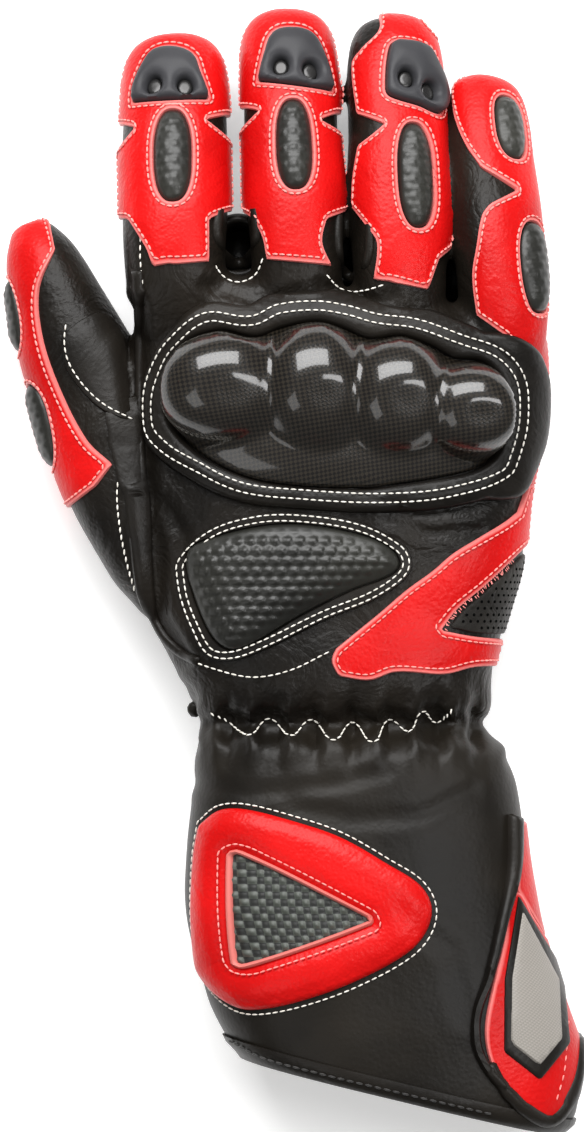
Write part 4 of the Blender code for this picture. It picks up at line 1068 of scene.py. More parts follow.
# The padded ovals of the fingers and the thumb: foam under black leather that is embossed with rows
# of small pillows, sewn in behind the windows of the red leather.
PAD_RISE = 0.0019
PILLOW_LONG, PILLOW_WIDE, PILLOW_RISE = 0.0030, 0.0022, 0.00040


def pillows(flat, long, wide, rise):
    """Rows of small embossed pillows, every second row half a pillow along."""
    row = np.floor(flat[:, 1] / wide)
    a = flat[:, 0] / long + 0.5 * (row % 2)
    b = flat[:, 1] / wide
    lump = (np.abs(np.sin(math.pi * a)) * np.abs(np.sin(math.pi * b))) ** 0.85
    slant = 0.75 + 0.25 * np.cos(2 * math.pi * (a + 0.15))
    return rise * lump * slant


PAD_LEATHER = leather_material("embossed pad leather", (0.006, 0.0062, 0.005), (0.020, 0.020, 0.016),
                               0.38, 0.0002, pebbles=1500.0, wrinkles=90.0, share=0.2, shine=0.4)
for limb, pad_name, along, angle, half_width, half_length in OVAL_PADS:
    reach = half_width * limb_plan(limb)[2]

    def pad_shape(flat, far, points):
        fade = np.clip(far / 0.0016, 0, 1)
        return PAD_RISE * dome(far, reach) + pillows(flat, PILLOW_LONG, PILLOW_WIDE, PILLOW_RISE) * fade
    loop = even(oval_loops[pad_name], 0.0009)
    piece = fasten(pad_name + "_cushion", limb, [loop], 0.0010, PAD_LEATHER, "embossed_pad", [pad_name],
                   sharp=60, step=0.0006, edge=0.0009, shape=pad_shape)

# The hard finger tips: moulded dark grey plastic with a rounded edge and two round holes, each with a
# rivet at its bottom that is coloured near black as painted shade down in the hole.
TIP_PLASTIC = leather_material("tip plastic", (0.028, 0.028, 0.031), (0.044, 0.044, 0.048), 0.42,
                               0.00025, pebbles=2600.0, wrinkles=200.0, share=0.1)
# the rivets are near black: painted shade inside the tip's holes, not the colour of steel
RIVET_HOLE_SHADE = plain_material("rivet painted with hole shade", (0.035, 0.034, 0.034), 0.25, Metallic=0.6)
TIP_HOLE, RIVET = 0.0025, 0.0024
SLIDER_HOLES = {
    "index": [(-0.179, 0.774), (0.102, 0.769)],
    "middle": [(-0.086, 0.767), (0.209, 0.748)],
    "ring": [(0.120, 0.742), (0.340, 0.694)],
}


def round_loop(middle, radius, count=22):
    """A circle of places."""
    turns = np.linspace(0, 2 * math.pi, count, endpoint=False)
    return np.array(middle) + radius * np.stack([np.cos(turns), np.sin(turns)], 1)


for finger, loop in tip_loops.items():
    holes = [ON[finger][1](seen_from_above(finger, [place])[0][0]) for place in SLIDER_HOLES[finger]]

    def tip_shape(flat, far, points):
        near = np.min([np.linalg.norm(flat - np.array(hole), axis=1) for hole in holes], axis=0)
        dish = 0.0003 * np.exp(-((near - 0.0032) / 0.0007) ** 2)
        return 0.0008 * dome(far, 0.006) - dish
    fasten(finger + "_hard_tip", finger, [loop] + [round_loop(hole, TIP_HOLE) for hole in holes], 0.0032,
           TIP_PLASTIC, "slider_plastic", [finger + "_slider"], sharp=50, step=0.0009, edge=0.0010,
           shape=tip_shape)
    for k, hole in enumerate(holes):
        fasten(f"{finger}_rivet_{k + 1}", finger, [round_loop(hole, RIVET, 20)], 0.0010, RIVET_HOLE_SHADE,
               sharp=60, step=0.0006, edge=0.0010)

# The thumb's root: a patch of black leather sewn over it with white thread, and beside it, down the
# edge of the hand, a welt of leather rolled over a cord and caught in the seam.
THUMB_PATCH = [
    (-0.123, 0.652, "S"), (0.102, 0.677), (0.306, 0.677), (0.400, 0.630),
    (0.400, 0.560, "S"), (0.208, 0.342, "S"), (-0.009, 0.410), (-0.125, 0.486),
    (-0.185, 0.574),
]
PATCH_SEAM = [(-63.0, 66.5), (-63.2, 62.5), (-62.0, 57.0), (-57.8, 50.2), (-52.4, 44.9), (-45.6, 41.0)]
HAND_WELT = [(-43.0, 82), (-42.6, 74), (-42.4, 50), (-42.2, 20), (-41.4, -6), (-36.6, -18),
             (-31.6, -23.5), (-25.8, -26.6)]
WELT_WIDTH = 0.0026
BLACK_TRIM = leather_material("black trim leather", (0.0050, 0.0042, 0.0034),
                              (0.0130, 0.0106, 0.0082), 0.38, 0.0008)


def at_mm(limb, path, closed=False, sharp=False, step=LINE_STEP):
    """A line of places through points seen from above, in millimetres from the origin."""
    return places_of(limb, [(Vector((x / 1000, y / 1000, 0)), sharp) for x, y in path], step, closed)


def band(line, width):
    """The outline of a strip along a line of places."""
    way = np.gradient(line, axis=0)
    way /= np.linalg.norm(way, axis=1)[:, None]
    side = np.stack([-way[:, 1], way[:, 0]], 1) * width / 2
    return even(np.concatenate([line + side, (line - side)[::-1]]), 0.0009)


fasten("thumb_patch_leather", "thumb", [flat_loop("thumb", THUMB_PATCH)], 0.0012, BLACK_TRIM,
       "black_leather", ["thumb_patch"], grooves=[(0.0014, 0.0002)])
white_rows = [("thumb", at_mm("thumb", PATCH_SEAM), 0.0013, False)]
fasten("thumb_side_welt", "hand", [band(at_mm("hand", HAND_WELT), WELT_WIDTH)], 0.0014, BLACK_TRIM,
       "black_leather", sharp=60, edge=0.0012)

# Loops between the fingers: black leather rolled into short upright rings that join the fingers'
# roots and close the gaps there.
FINGER_LOOPS = [
    ("index_middle_loop", -0.130, 0.715, 0.066, 0.074),
    ("middle_ring_loop", 0.128, 0.708, 0.060, 0.082),
    ("ring_little_loop", 0.392, 0.640, 0.056, 0.078),
]
# share of the loop's size, and height, round its rolled section
LOOP_PROFILE = [
    (0.05, 0.0062), (0.90, 0.0062), (1.02, 0.0100), (1.04, 0.0150), (1.00, 0.0180), (0.90, 0.0196),
    (0.78, 0.0196), (0.68, 0.0180), (0.62, 0.0150), (0.58, 0.0105), (0.50, 0.0085), (0.05, 0.0080),
]


def solid_out(mesh):
    """Closes a mesh's open ends and turns all its faces outwards."""
    shape = bmesh.new()
    shape.from_mesh(mesh)
    bmesh.ops.holes_fill(shape, edges=shape.edges)
    bmesh.ops.recalc_face_normals(shape, faces=shape.faces)
    shape.to_mesh(mesh)
    shape.free()


for loop_name, across, along, half_width, half_length in FINGER_LOOPS:
    rings = []
    for share, height in LOOP_PROFILE:
        centre = (across * HAND_WIDTH, along * HAND_LENGTH, height)
        rings.append(oval_ring(centre, (1, 0, 0), (0, 1, 0), share * half_width * HAND_WIDTH,
                               share * half_length * HAND_LENGTH, 40, 2.2))
    mesh = mesh_of(loop_name + "_rolled", *sleeve(rings))
    solid_out(mesh)
    add_piece(loop_name + "_rolled", mesh, BLACK_TRIM, [loop_name], sharp=70)

# Rolled edges of the two wide gaps between the fingers: a strip of black leather turned over a cord
# and sewn in a U round each gap.
GAP_ROLLS = {
    "index_middle_roll": (0.0018, [(-20.6, 99.5), (-21.2, 93.0), (-20.2, 87.4), (-16.8, 84.6),
                                   (-12.8, 84.8), (-9.9, 88.0), (-9.4, 93.0), (-10.0, 99.5)]),
    "middle_ring_roll": (0.0015, [(12.8, 98.0), (12.6, 90.0), (13.2, 83.2), (16.6, 80.4),
                                  (20.4, 81.8), (21.6, 87.5), (21.8, 95.0)]),
}
ROLL_LOWEST = 0.016
for roll_name, (radius, path) in GAP_ROLLS.items():
    places = even([(x / 1000, y / 1000) for x, y in path], 0.0008, False)
    heights = []
    for x, y in places:
        found = leather_below(x, y)
        heights.append(ROLL_LOWEST if found is None else max(found.z, ROLL_LOWEST))
    heights = np.array(heights)
    for _ in range(14):
        heights[1:-1] = (heights[:-2] + heights[1:-1] + heights[2:]) / 3
    rings = []
    ways = np.gradient(places, axis=0)
    for (x, y), z, way in zip(places, heights, ways):
        side = Vector((-way[1], way[0], 0)).normalized()
        rings.append(oval_ring((x, y, z), side, (0, 0, 1), radius, radius, 14, 2.0))
    mesh = mesh_of(roll_name, *sleeve(rings))
    solid_out(mesh)
    add_piece(roll_name, mesh, BLACK_TRIM, sharp=80)

# The knuckles: a padded black surround with two rows of white stitches, and in it the hard guard,
# four joined domes of fine fibre weave under a deep clear coat.
KNUCKLE_SURROUND = [
    (-0.212, 0.571), (-0.101, 0.564), (-0.041, 0.589), (0.058, 0.598), (0.138, 0.587),
    (0.205, 0.569), (0.299, 0.558), (0.393, 0.528), (0.502, 0.485), (0.545, 0.420),
    (0.552, 0.338), (0.540, 0.267), (0.505, 0.193), (0.393, 0.146), (0.224, 0.130),
    (0.019, 0.138), (-0.128, 0.155), (-0.244, 0.206), (-0.325, 0.269), (-0.340, 0.340),
    (-0.330, 0.430), (-0.290, 0.506),
]
KNUCKLE_GUARD = [
    (-0.292, 0.352), (-0.256, 0.484), (-0.176, 0.520), (-0.089, 0.506), (-0.027, 0.526),
    (0.058, 0.538), (0.116, 0.526), (0.186, 0.502), (0.258, 0.508), (0.326, 0.488),
    (0.386, 0.459), (0.450, 0.450), (0.490, 0.412), (0.505, 0.338), (0.490, 0.264),
    (0.450, 0.222), (0.391, 0.202), (0.258, 0.181), (0.126, 0.172), (-0.010, 0.179),
    (-0.109, 0.197), (-0.210, 0.244), (-0.266, 0.296),
]
# across, along, half width, half length and rise of each dome
GUARD_BUMPS = [
    (-0.150, 0.395, 0.140, 0.150, 0.95),
    (0.058, 0.390, 0.130, 0.165, 1.00),
    (0.246, 0.375, 0.125, 0.155, 0.96),
    (0.410, 0.345, 0.105, 0.120, 0.84),
]
GUARD_BUMP, DOME_SPREAD, SCOOP, BLEND = 0.0135, 1.18, 0.0013, 0.0014
SHELL_RISE, SHELL_FOOT = 0.0026, 0.0010
# how far outside its outline the surround's leather goes on, and how much more at the outer side
SURROUND_MORE, SURROUND_END, END_LENGTH = 0.0016, 0.0090, 0.018
surround = flat_loop("hand", KNUCKLE_SURROUND)
guard = flat_loop("hand", KNUCKLE_GUARD)
ROW_INSETS = (0.0013, 0.0038)


def widened(loop):
    """The padded leather goes on outside its stitches, most at the little finger's side."""
    ahead = np.roll(loop, -1, 0) - np.roll(loop, 1, 0)
    out = np.stack([ahead[:, 1], -ahead[:, 0]], 1) / np.linalg.norm(ahead, axis=1)[:, None]
    if not is_inside(loop[:1] - out[:1] * 0.0005, [loop])[0]:
        out = -out
    end = np.clip((loop[:, 0] - loop[:, 0].max() + END_LENGTH) / END_LENGTH, 0, 1)
    return even(loop + out * (SURROUND_MORE + SURROUND_END * end ** 2)[:, None], LINE_STEP)


def surround_shape(flat, far, points):
    """Soft padding with two grooves where the stitches pull it in."""
    depth = distance_to_loop(flat, surround) * np.where(is_inside(flat, [surround]), 1, -1)
    height = 0.0012 * np.clip(far / 0.004, 0, 1) ** 0.5
    for inset in ROW_INSETS:
        height -= 0.0004 * np.exp(-((depth - inset) / GROOVE) ** 2)
    return height


fasten("knuckle_border", "hand", [widened(surround), inset_loop(guard, -GAP)], 0.0022, BLACK_TRIM,
       "black_leather", ["knuckle_surround"], sharp=60, edge=0.0014, shape=surround_shape, soft=3)
for inset in ROW_INSETS:
    white_rows.append(("hand", inset_loop(surround, inset), 0.0039, True))


def guard_shape(flat, far, points):
    """The guard rises from its edge to a shell, and four domes grow out of that."""
    base = SHELL_RISE * dome(far, 0.010)
    levels = [points[:, 2] + SHELL_FOOT + base]
    for across, along, half_width, half_length, rise in GUARD_BUMPS:
        u = (points[:, 0] - across * HAND_WIDTH) / (half_width * HAND_WIDTH * DOME_SPREAD)
        v = (points[:, 1] - along * HAND_LENGTH) / (half_length * HAND_LENGTH)
        inside = np.clip(1 - (np.abs(u) ** 2.2 + np.abs(v) ** 2.2), 0, 1)
        scoop = SCOOP * np.exp(-((u - 0.12) / 0.34) ** 2 - ((v + 0.12) / 0.30) ** 2)
        levels.append(HAND_HEIGHT + (1.8 * inside ** 0.5 - 0.8) * rise * GUARD_BUMP - scoop)
    top = np.array(levels)
    most = top.max(0)
    together = most + BLEND * np.log(np.exp((top - most) / BLEND).sum(0))
    return (together - points[:, 2] - SHELL_FOOT) * np.clip(far / 0.0014, 0, 1) ** 0.5


def woven_group():
    """A fine twill: bundles of fibre that pass over and under each other, in two tones."""
    group = bpy.data.node_groups.new("woven", "ShaderNodeTree")
    for label in ("Bundles", "Turn"):
        group.interface.new_socket(label, in_out="INPUT", socket_type="NodeSocketFloat")
    for label in ("Over", "Height"):
        group.interface.new_socket(label, in_out="OUTPUT", socket_type="NodeSocketFloat")
    links = group.links
    inside, result = node(group, "NodeGroupInput"), node(group, "NodeGroupOutput")
    where = node(group, "ShaderNodeUVMap", uv_map="flat")
    turned = node(group, "ShaderNodeVectorRotate")
    links.new(inside.outputs["Turn"], turned.inputs["Angle"])
    sized = node(group, "ShaderNodeVectorMath", operation="SCALE")
    links.new(where.outputs["UV"], turned.inputs["Vector"])
    links.new(turned.outputs["Vector"], sized.inputs[0])
    links.new(inside.outputs["Bundles"], sized.inputs["Scale"])
    checks = node(group, "ShaderNodeTexChecker", Scale=1.0, Color1=(1, 1, 1, 1), Color2=(0, 0, 0, 1))
    links.new(sized.outputs["Vector"], checks.inputs["Vector"])
    fibres = node(group, "ShaderNodeTexVoronoi", Scale=1.0, Randomness=0.15)
    links.new(sized.outputs["Vector"], fibres.inputs["Vector"])
    links.new(checks.outputs["Fac"], result.inputs["Over"])
    links.new(fibres.outputs["Distance"], result.inputs["Height"])
    return group


WOVEN = woven_group()


def woven_material(name, dark, light, rough, bundles, turn, bump, **settings):
    """Cloth or fibre whose bundles lie over and under each other in two tones."""
    made = plain_material(name, light, rough, **settings)
    tree, links = made.node_tree, made.node_tree.links
    weave = node(tree, "ShaderNodeGroup", node_tree=WOVEN, Bundles=bundles, Turn=turn)
    links.new(mixed(tree, weave.outputs["Over"], dark, light), shader_of(made).inputs["Base Color"])
    relief = node(tree, "ShaderNodeBump", Strength=0.6, Distance=bump, invert=True)
    links.new(weave.outputs["Height"], relief.inputs["Height"])
    links.new(relief.outputs["Normal"], shader_of(made).inputs["Normal"])
    return made


GUARD_FIBRE = woven_material("guard fibre", (0.002, 0.0017, 0.0013), (0.017, 0.0135, 0.0095), 0.30,
                             12.0, 0.6, 0.0001, Coat_Weight=1.0, Coat_Roughness=0.09, Coat_IOR=1.45,
                             Specular_IOR_Level=0.2)
fasten("knuckle_shell", "hand", [guard], 0.0016, GUARD_FIBRE, "carbon_guard", ["knuckle_guard"],
       sharp=80, step=0.0009, edge=0.0010, shape=guard_shape, soft=2)

# The framed pad on the back of the hand: embossed leather over foam, in a flat border of black
# leather that is sewn down with two rows of white stitches.
BACK_FRAME = [
    (-0.278, -0.020), (-0.275, 0.013), (-0.203, 0.081), (-0.089, 0.115), (0.024, 0.118),
    (0.167, 0.096), (0.266, 0.047), (0.287, 0.007), (0.270, -0.029), (0.196, -0.076),
    (0.082, -0.119), (-0.060, -0.184), (-0.145, -0.211), (-0.203, -0.199),
    (-0.244, -0.134), (-0.268, -0.072),
]
BACK_PAD = [
    (-0.244, 0.034), (-0.203, 0.058), (-0.089, 0.085), (0.014, 0.092), (0.140, 0.074),
    (0.222, 0.047), (0.256, 0.007), (0.234, -0.020), (0.140, -0.054), (0.024, -0.108),
    (-0.089, -0.170), (-0.140, -0.186), (-0.179, -0.168), (-0.215, -0.110),
    (-0.244, -0.025),
]
frame_loop = flat_loop("hand", BACK_FRAME)
pad_loop = flat_loop("hand", BACK_PAD)
fasten("back_border", "hand", [frame_loop, inset_loop(pad_loop, -GAP)], 0.0012, BLACK_TRIM,
       "black_leather", ["back_frame"], grooves=[(0.0008, 0.0003), (0.0024, 0.0003)])
white_rows += [("hand", inset_loop(frame_loop, 0.0008), 0.0013, True),
               ("hand", inset_loop(frame_loop, 0.0025), 0.0013, True)]


def back_shape(flat, far, points):
    """A low cushion with larger pillows than on the fingers."""
    fade = np.clip((far - 0.0012) / 0.002, 0, 1)
    return 0.0028 * dome(far, 0.010) + pillows(flat, 0.0034, 0.0028, 0.0010) * fade


piece = fasten("back_cushion", "hand", [pad_loop], 0.0012, PAD_LEATHER, "embossed_pad", ["back_pad"],
               sharp=60, step=0.0006, edge=0.0010, shape=back_shape)

# The flash on the outer side of the hand: red leather with a frayed cut edge, split round an insert
# of pitted black leather, and sewn down with pale red thread.
SIDE_FLASH = [
    (0.540, 0.120, "S"), (0.510, 0.098), (0.460, 0.070), (0.384, 0.027),
    (0.336, -0.011), (0.275, -0.052), (0.208, -0.105), (0.104, -0.184, "S"),
    (0.094, -0.211), (0.111, -0.244, "S"), (0.186, -0.253), (0.246, -0.235),
    (0.364, -0.240), (0.437, -0.224), (0.520, -0.224, "S"), (0.560, -0.166, "S"),
    (0.437, -0.157), (0.355, -0.143, "S"), (0.393, -0.096), (0.454, -0.047),
    (0.530, 0.020), (0.590, 0.080, "S"), (0.640, 0.190, "S"), (0.565, 0.185, "S"),
]
SIDE_INSERT = [
    (0.372, -0.137, "S"), (0.404, -0.099), (0.464, -0.052), (0.536, 0.012),
    (0.600, 0.068, "S"), (0.620, -0.054, "S"), (0.590, -0.152, "S"), (0.442, -0.150),
]
flash = flat_loop("hand", SIDE_FLASH)
insert = flat_loop("hand", SIDE_INSERT)
fasten("side_red_leather", "hand", [flash], RED, RED_LEATHER, "red_leather", ["side_flash"],
       grooves=[(0.0017, 0.0002)])
# Loose fibres along the flash's cut edge beside the insert
FRAYED_EDGE = [(63.4, 10.6), (59.5, 1.1), (52.2, -5.9), (45.2, -12.0), (41.2, -17.4)]
cut = at_mm("hand", FRAYED_EDGE, step=0.0007)
along_cut = np.gradient(cut, axis=0)
along_cut /= np.linalg.norm(along_cut, axis=1)[:, None]
outside = np.stack([-along_cut[:, 1], along_cut[:, 0]], 1)
chance = np.random.default_rng(11)
fibres = []
for place, way in zip(cut, outside):
    tilted = way + chance.uniform(-0.5, 0.5, 2)
    fibres.append(("hand", [place + tilted * far for far in (-0.0002, 0.0003, 0.0008)], RED * 0.8, False))
sew("frayed_fibres", fibres, RED_THREAD, pitch=0.0009, long=0.0012, wide=0.00028)
INSERT_LEATHER = leather_material("pitted insert leather", (0.008, 0.007, 0.006),
                                  (0.028, 0.025, 0.021), 0.5, 0.003, pebbles=420.0, wrinkles=140.0,
                                  share=0.3)
INSERT, HOLE_PITCH, HOLE_RADIUS, HOLE_DEPTH = 0.0009, 0.0021, 0.00042, 0.00016
# each perforation is a flat near-black disc without reflection: painted shade in place of a cut hole
HOLE_SHADE = plain_material("painted hole shade", (0.002, 0.002, 0.002), 0.9, Specular_IOR_Level=0.0)
fasten("side_insert_leather", "hand", [inset_loop(insert, GAP)], INSERT, INSERT_LEATHER,
       "black_leather", ["side_insert"])


def pierced_tree():
    """Near-black discs on the leather, one at each marked point, that paint the shade inside round holes.
    """
    tree = bpy.data.node_groups.new("perforations", "GeometryNodeTree")
    tree.interface.new_socket("Geometry", in_out="INPUT", socket_type="NodeSocketGeometry")
    tree.interface.new_socket("Geometry", in_out="OUTPUT", socket_type="NodeSocketGeometry")
    links = tree.links
    given, result = node(tree, "NodeGroupInput"), node(tree, "NodeGroupOutput")
    hole = node(tree, "GeometryNodeMeshCylinder", Vertices=10, Radius=HOLE_RADIUS, Depth=HOLE_DEPTH)
    way = node(tree, "GeometryNodeInputNamedAttribute", data_type="FLOAT_VECTOR", Name="outward")
    stand = node(tree, "FunctionNodeAlignRotationToVector", axis="Z")
    links.new(way.outputs["Attribute"], stand.inputs["Vector"])
    each = node(tree, "GeometryNodeInstanceOnPoints")
    links.new(given.outputs["Geometry"], each.inputs["Points"])
    links.new(hole.outputs["Mesh"], each.inputs["Instance"])
    links.new(stand.outputs["Rotation"], each.inputs["Rotation"])
    real = node(tree, "GeometryNodeRealizeInstances")
    links.new(each.outputs["Instances"], real.inputs["Geometry"])
    paint = node(tree, "GeometryNodeSetMaterial", Material=HOLE_SHADE)
    links.new(real.outputs["Geometry"], paint.inputs["Geometry"])
    links.new(paint.outputs["Geometry"], result.inputs["Geometry"])
    return tree


low, high = insert.min(0), insert.max(0)
spots = np.array([(x + (j % 2) * HOLE_PITCH / 2, y)
                  for j, y in enumerate(np.arange(low[1], high[1], HOLE_PITCH * 0.866))
                  for x in np.arange(low[0], high[0], HOLE_PITCH)])
spots = spots[is_inside(spots, [insert])]
spots = spots[distance_to_loop(spots, insert) > 0.0016]
holes, ways = on_leather("hand", spots, INSERT)
mesh = mesh_of("side_perforations", holes, [])
mark = mesh.attributes.new("outward", "FLOAT_VECTOR", "POINT")
mark.data.foreach_set("vector", ways.astype(np.float32).ravel())
marks = placed("side_perforations", mesh)
marks.modifiers.new("Holes", "NODES").node_group = pierced_tree()
add_piece("side_perforations", settled(marks), HOLE_SHADE)
sew("side_stitching", [("hand", inset_loop(flash, 0.0016), RED_TOP, True)], RED_THREAD,
    pitch=0.0020, long=0.0018, wide=0.0005)

# The gathered wrist: a wavy row of white stitches that holds elastic under the leather, tied off in
# a small knot at the inner edge.
KNOT_PLACE, KNOT_RADIUS = (-0.0268, -0.0398), 0.0020
WRIST_WAVE = [
    (-22, -41.2), (-18.6, -42.6), (-11.8, -46.8), (-6.4, -42.3), (-0.3, -47.0), (5.3, -42.6),
    (11.5, -48.2), (16.8, -43.4), (22.4, -48.7), (26.9, -42.6), (32.5, -45.9), (36.1, -40.3),
    (39.8, -43.6), (44.0, -40.3),
]
knot = ON["hand"][1](Vector((*KNOT_PLACE, 0)))
fasten("wrist_knot", "hand", [round_loop(knot, KNOT_RADIUS, 18)], 0.0026, BLACK_TRIM, sharp=60,
       step=0.0006, edge=0.0019)
white_rows.append(("hand", at_mm("hand", WRIST_WAVE), 0.0003, False))

# The cuff's red patch: soft leather over foam, sewn round with white thread, with a window bound in
# its own pale cut edge that shows a coarse black weave.
CUFF_PATCH = [
    (-0.400, 0.283, "S"), (-0.346, 0.241), (-0.276, 0.235), (-0.139, 0.266),
    (0.001, 0.311), (0.139, 0.386), (0.229, 0.442), (0.264, 0.504), (0.249, 0.571),
    (0.194, 0.630), (0.069, 0.697), (-0.069, 0.750), (-0.206, 0.784), (-0.290, 0.784),
    (-0.366, 0.736), (-0.404, 0.672), (-0.421, 0.537), (-0.415, 0.372),
]
CUFF_WEAVE = [
    (-0.311, 0.364), (-0.284, 0.353), (0.092, 0.532), (0.095, 0.546), (-0.255, 0.666),
    (-0.296, 0.661),
]
patch_loop = flat_loop("cuff", CUFF_PATCH)
window = flat_loop("cuff", CUFF_WEAVE)


def patch_shape(flat, far, points):
    """A low cushion that falls to its edges."""
    return 0.0016 * dome(far, 0.006)


RED_CUFF = leather_material("red cuff leather", (0.44, 0.002, 0.002), (0.60, 0.004, 0.004), 0.34,
                            0.0018, pebbles=1100.0, wrinkles=34.0, share=0.5, shine=0.16)
piece = fasten("cuff_red_cushion", "cuff", [patch_loop, window], 0.0014, RED_CUFF, "red_leather",
               ["cuff_patch"], sharp=60, edge=0.0014, shape=patch_shape, grooves=[(0.0020, 0.0003)])
CUT_RED = plain_material("cut red edge", (0.58, 0.14, 0.12), 0.6)
fasten("cuff_window_binding", "cuff", [inset_loop(window, -0.0006), inset_loop(window, 0.0008)],
       0.0026, CUT_RED, sharp=60, edge=0.0007)
WEAVE_PITCH = 0.0020


def weave_shape(flat, far, points):
    """Square bundles that rise over and sink under each other."""
    u, v = flat[:, 0] / WEAVE_PITCH, flat[:, 1] / WEAVE_PITCH
    over = (np.floor(u) + np.floor(v)) % 2
    lump = (np.abs(np.sin(math.pi * u)) * np.abs(np.sin(math.pi * v))) ** 0.7
    return lump * (0.00035 + 0.0005 * over)


COARSE_WEAVE = woven_material("coarse weave", (0.006, 0.007, 0.006), (0.055, 0.062, 0.052), 0.50,
                              5.0, 0.0, 0.0)
fasten("cuff_woven_insert", "cuff", [inset_loop(window, GAP)], 0.0008, COARSE_WEAVE, "weave",
       ["cuff_weave"], sharp=80, step=0.0005, shape=weave_shape)
white_rows.append(("cuff", inset_loop(patch_loop, -0.0014), 0.0003, True))
sew("cuff_red_stitching", [("cuff", inset_loop(window, -0.0022), 0.0031, True)], RED_THREAD,
    pitch=0.0020, long=0.0018, wide=0.0005)

# The closure at the cuff's outer edge: a strap and a tab of red leather, the tab with black piping
# and a plain grey cloth badge in a black rim, beside the rolled black edge of the cuff's flap. They
# are sewn down at one end and held by a fastener underneath.
CUFF_PIPING = [
    (0.488, 0.252, "S"), (0.515, 0.263, "S"), (0.512, 0.414), (0.480, 0.554),
    (0.442, 0.700), (0.410, 0.789), (0.404, 0.873), (0.430, 0.935), (0.490, 1.000),
    (0.466, 1.012), (0.407, 0.946), (0.378, 0.876), (0.384, 0.784), (0.416, 0.694),
    (0.452, 0.549), (0.482, 0.414),
]
CLOSURE_STRAP = [
    (0.518, 0.275, "S"), (0.680, 0.290, "S"), (0.720, 0.480), (0.740, 0.690, "S"),
    (0.648, 0.690, "S"), (0.505, 0.462, "S"),
]
# seen from above, in millimetres from the origin
TAB_OUTLINE = [
    (60.8, -90.7), (66.1, -97.7), (74.2, -112.6), (77.8, -121.5), (79.5, -132.2), (78.7, -141.7),
    (75.6, -149.5), (71.1, -153.4), (66.6, -151.5), (61.6, -147.3), (56.8, -141.7), (53.8, -134.1),
    (53.2, -127.1), (54.9, -117.3), (57.7, -104.7),
]
RIM_OUTLINE = [(61.6, -91.3), (73.6, -113.4), (75.9, -132.7), (67.8, -142.2), (58.0, -134.1),
               (58.0, -114.5)]
FACE_OUTLINE = [(62.3, -95.6), (72.2, -115.6), (73.4, -131.4), (67.3, -138.4), (59.6, -131.8),
                (59.7, -114.2)]
TAB_EDGE = [
    (73.8, -111.8), (77.4, -121.5), (79.2, -132.2), (78.4, -141.7), (75.3, -149.5), (71.1, -153.2),
    (66.6, -151.6), (61.6, -147.6), (57.2, -142.4), (54.4, -137.0),
]
TAB_ROW = [(75.6, -127.0), (75.2, -134.0), (74.4, -141.0), (72.6, -147.0)]
piping = flat_loop("cuff", CUFF_PIPING)
strap = flat_loop("cuff", CLOSURE_STRAP)
tab = at_mm("cuff", TAB_OUTLINE, True)
rim = at_mm("cuff", RIM_OUTLINE, True, True)
face = at_mm("cuff", FACE_OUTLINE, True, True)
BADGE_CLOTH = woven_material("badge cloth", (0.21, 0.195, 0.175), (0.27, 0.25, 0.225), 0.6,
                             22.0, 0.0, 0.0001)
fasten("cuff_flap_edge", "cuff", [piping], 0.0030, BLACK_TRIM, "black_leather", ["cuff_piping"],
       sharp=60, edge=0.0016)
fasten("closure_strap_red", "cuff", [strap], 0.0013, RED_LEATHER, "red_leather", ["closure_strap"])
fasten("closure_tab_red", "cuff", [tab], 0.0015, RED_LEATHER, "red_leather", ["closure_tab"], edge=0.0009)
fasten("badge_black_rim", "cuff", [rim], 0.0022, BLACK_TRIM, "black_leather", ["badge_rim"], edge=0.0006)
fasten("badge_grey_cloth", "cuff", [face], 0.0027, BADGE_CLOTH, "badge_grey", ["badge"], edge=0.0005)
fasten("tab_edge_piping", "cuff", [band(at_mm("cuff", TAB_EDGE), 0.0034)], 0.0026, BLACK_TRIM,
       "black_leather", sharp=60, edge=0.0016)
sew("tab_stitching", [("cuff", at_mm("cuff", TAB_ROW), 0.0016, False)], RED_THREAD,
    pitch=0.0026, long=0.0018, wide=0.0005)

# The binding round the cuff's mouth: a strip of black leather folded over the edge and sewn through
# with dark thread.
# how far back from the mouth, and how far out of the leather, round the fold
HEM_STEPS = [
    (0.0048, -0.0002), (0.0046, 0.0010), (0.0030, 0.0015), (0.0010, 0.0014), (-0.0004, 0.0004),
    (-0.0006, -0.0010), (0.0004, -0.0024), (0.0030, -0.0026), (0.0046, -0.0022),
]
HEM_SIDES, HEM_INSIDE = 144, 0.0006
mouth_side = Vector((-mouth_way.y, mouth_way.x, 0))
rings = []
for k in range(HEM_SIDES):
    turn = 2 * math.pi * k / HEM_SIDES
    out = mouth_side * math.cos(turn) + Vector((0, 0, 1)) * math.sin(turn)
    ring_points = []
    for back, lift in HEM_STEPS:
        start = mouth - mouth_way * (MOUTH_TRIM + max(back, HEM_INSIDE)) + Vector((0, 0, 0.02))
        found = leather_skin.ray_cast(start, out)[0]
        if found is None:
            found = start + out * 0.03
        point = found + mouth_way * (max(back, HEM_INSIDE) - back) + out * lift
        point.z = max(point.z, 0.0)
        ring_points.append(tuple(point))
    rings.append(ring_points)
rows = len(HEM_STEPS)
hem_faces = []
for k in range(HEM_SIDES):
    here, after = k * rows, (k + 1) % HEM_SIDES * rows
    for j in range(rows):
        up = (j + 1) % rows
        hem_faces.append((here + j, after + j, after + up, here + up))
mesh = mesh_of("cuff_binding", np.array(rings).reshape(-1, 3), hem_faces)
solid_out(mesh)
add_piece("cuff_binding", mesh, BLACK_TRIM, ["cuff_hem"], sharp=60)
HEM_ROW = [(-16.0, -132.0), (-7.8, -136.0), (6.7, -139.7), (26.6, -144.4), (47.0, -149.2),
           (54.0, -150.9)]
DARK_THREAD = thread_material("dark thread", (0.004, 0.0035, 0.003), (0.012, 0.010, 0.008))
sew("hem_stitching", [("cuff", at_mm("cuff", HEM_ROW), 0.0017, False)], DARK_THREAD,
    pitch=0.0026, long=0.0022, wide=0.0007)

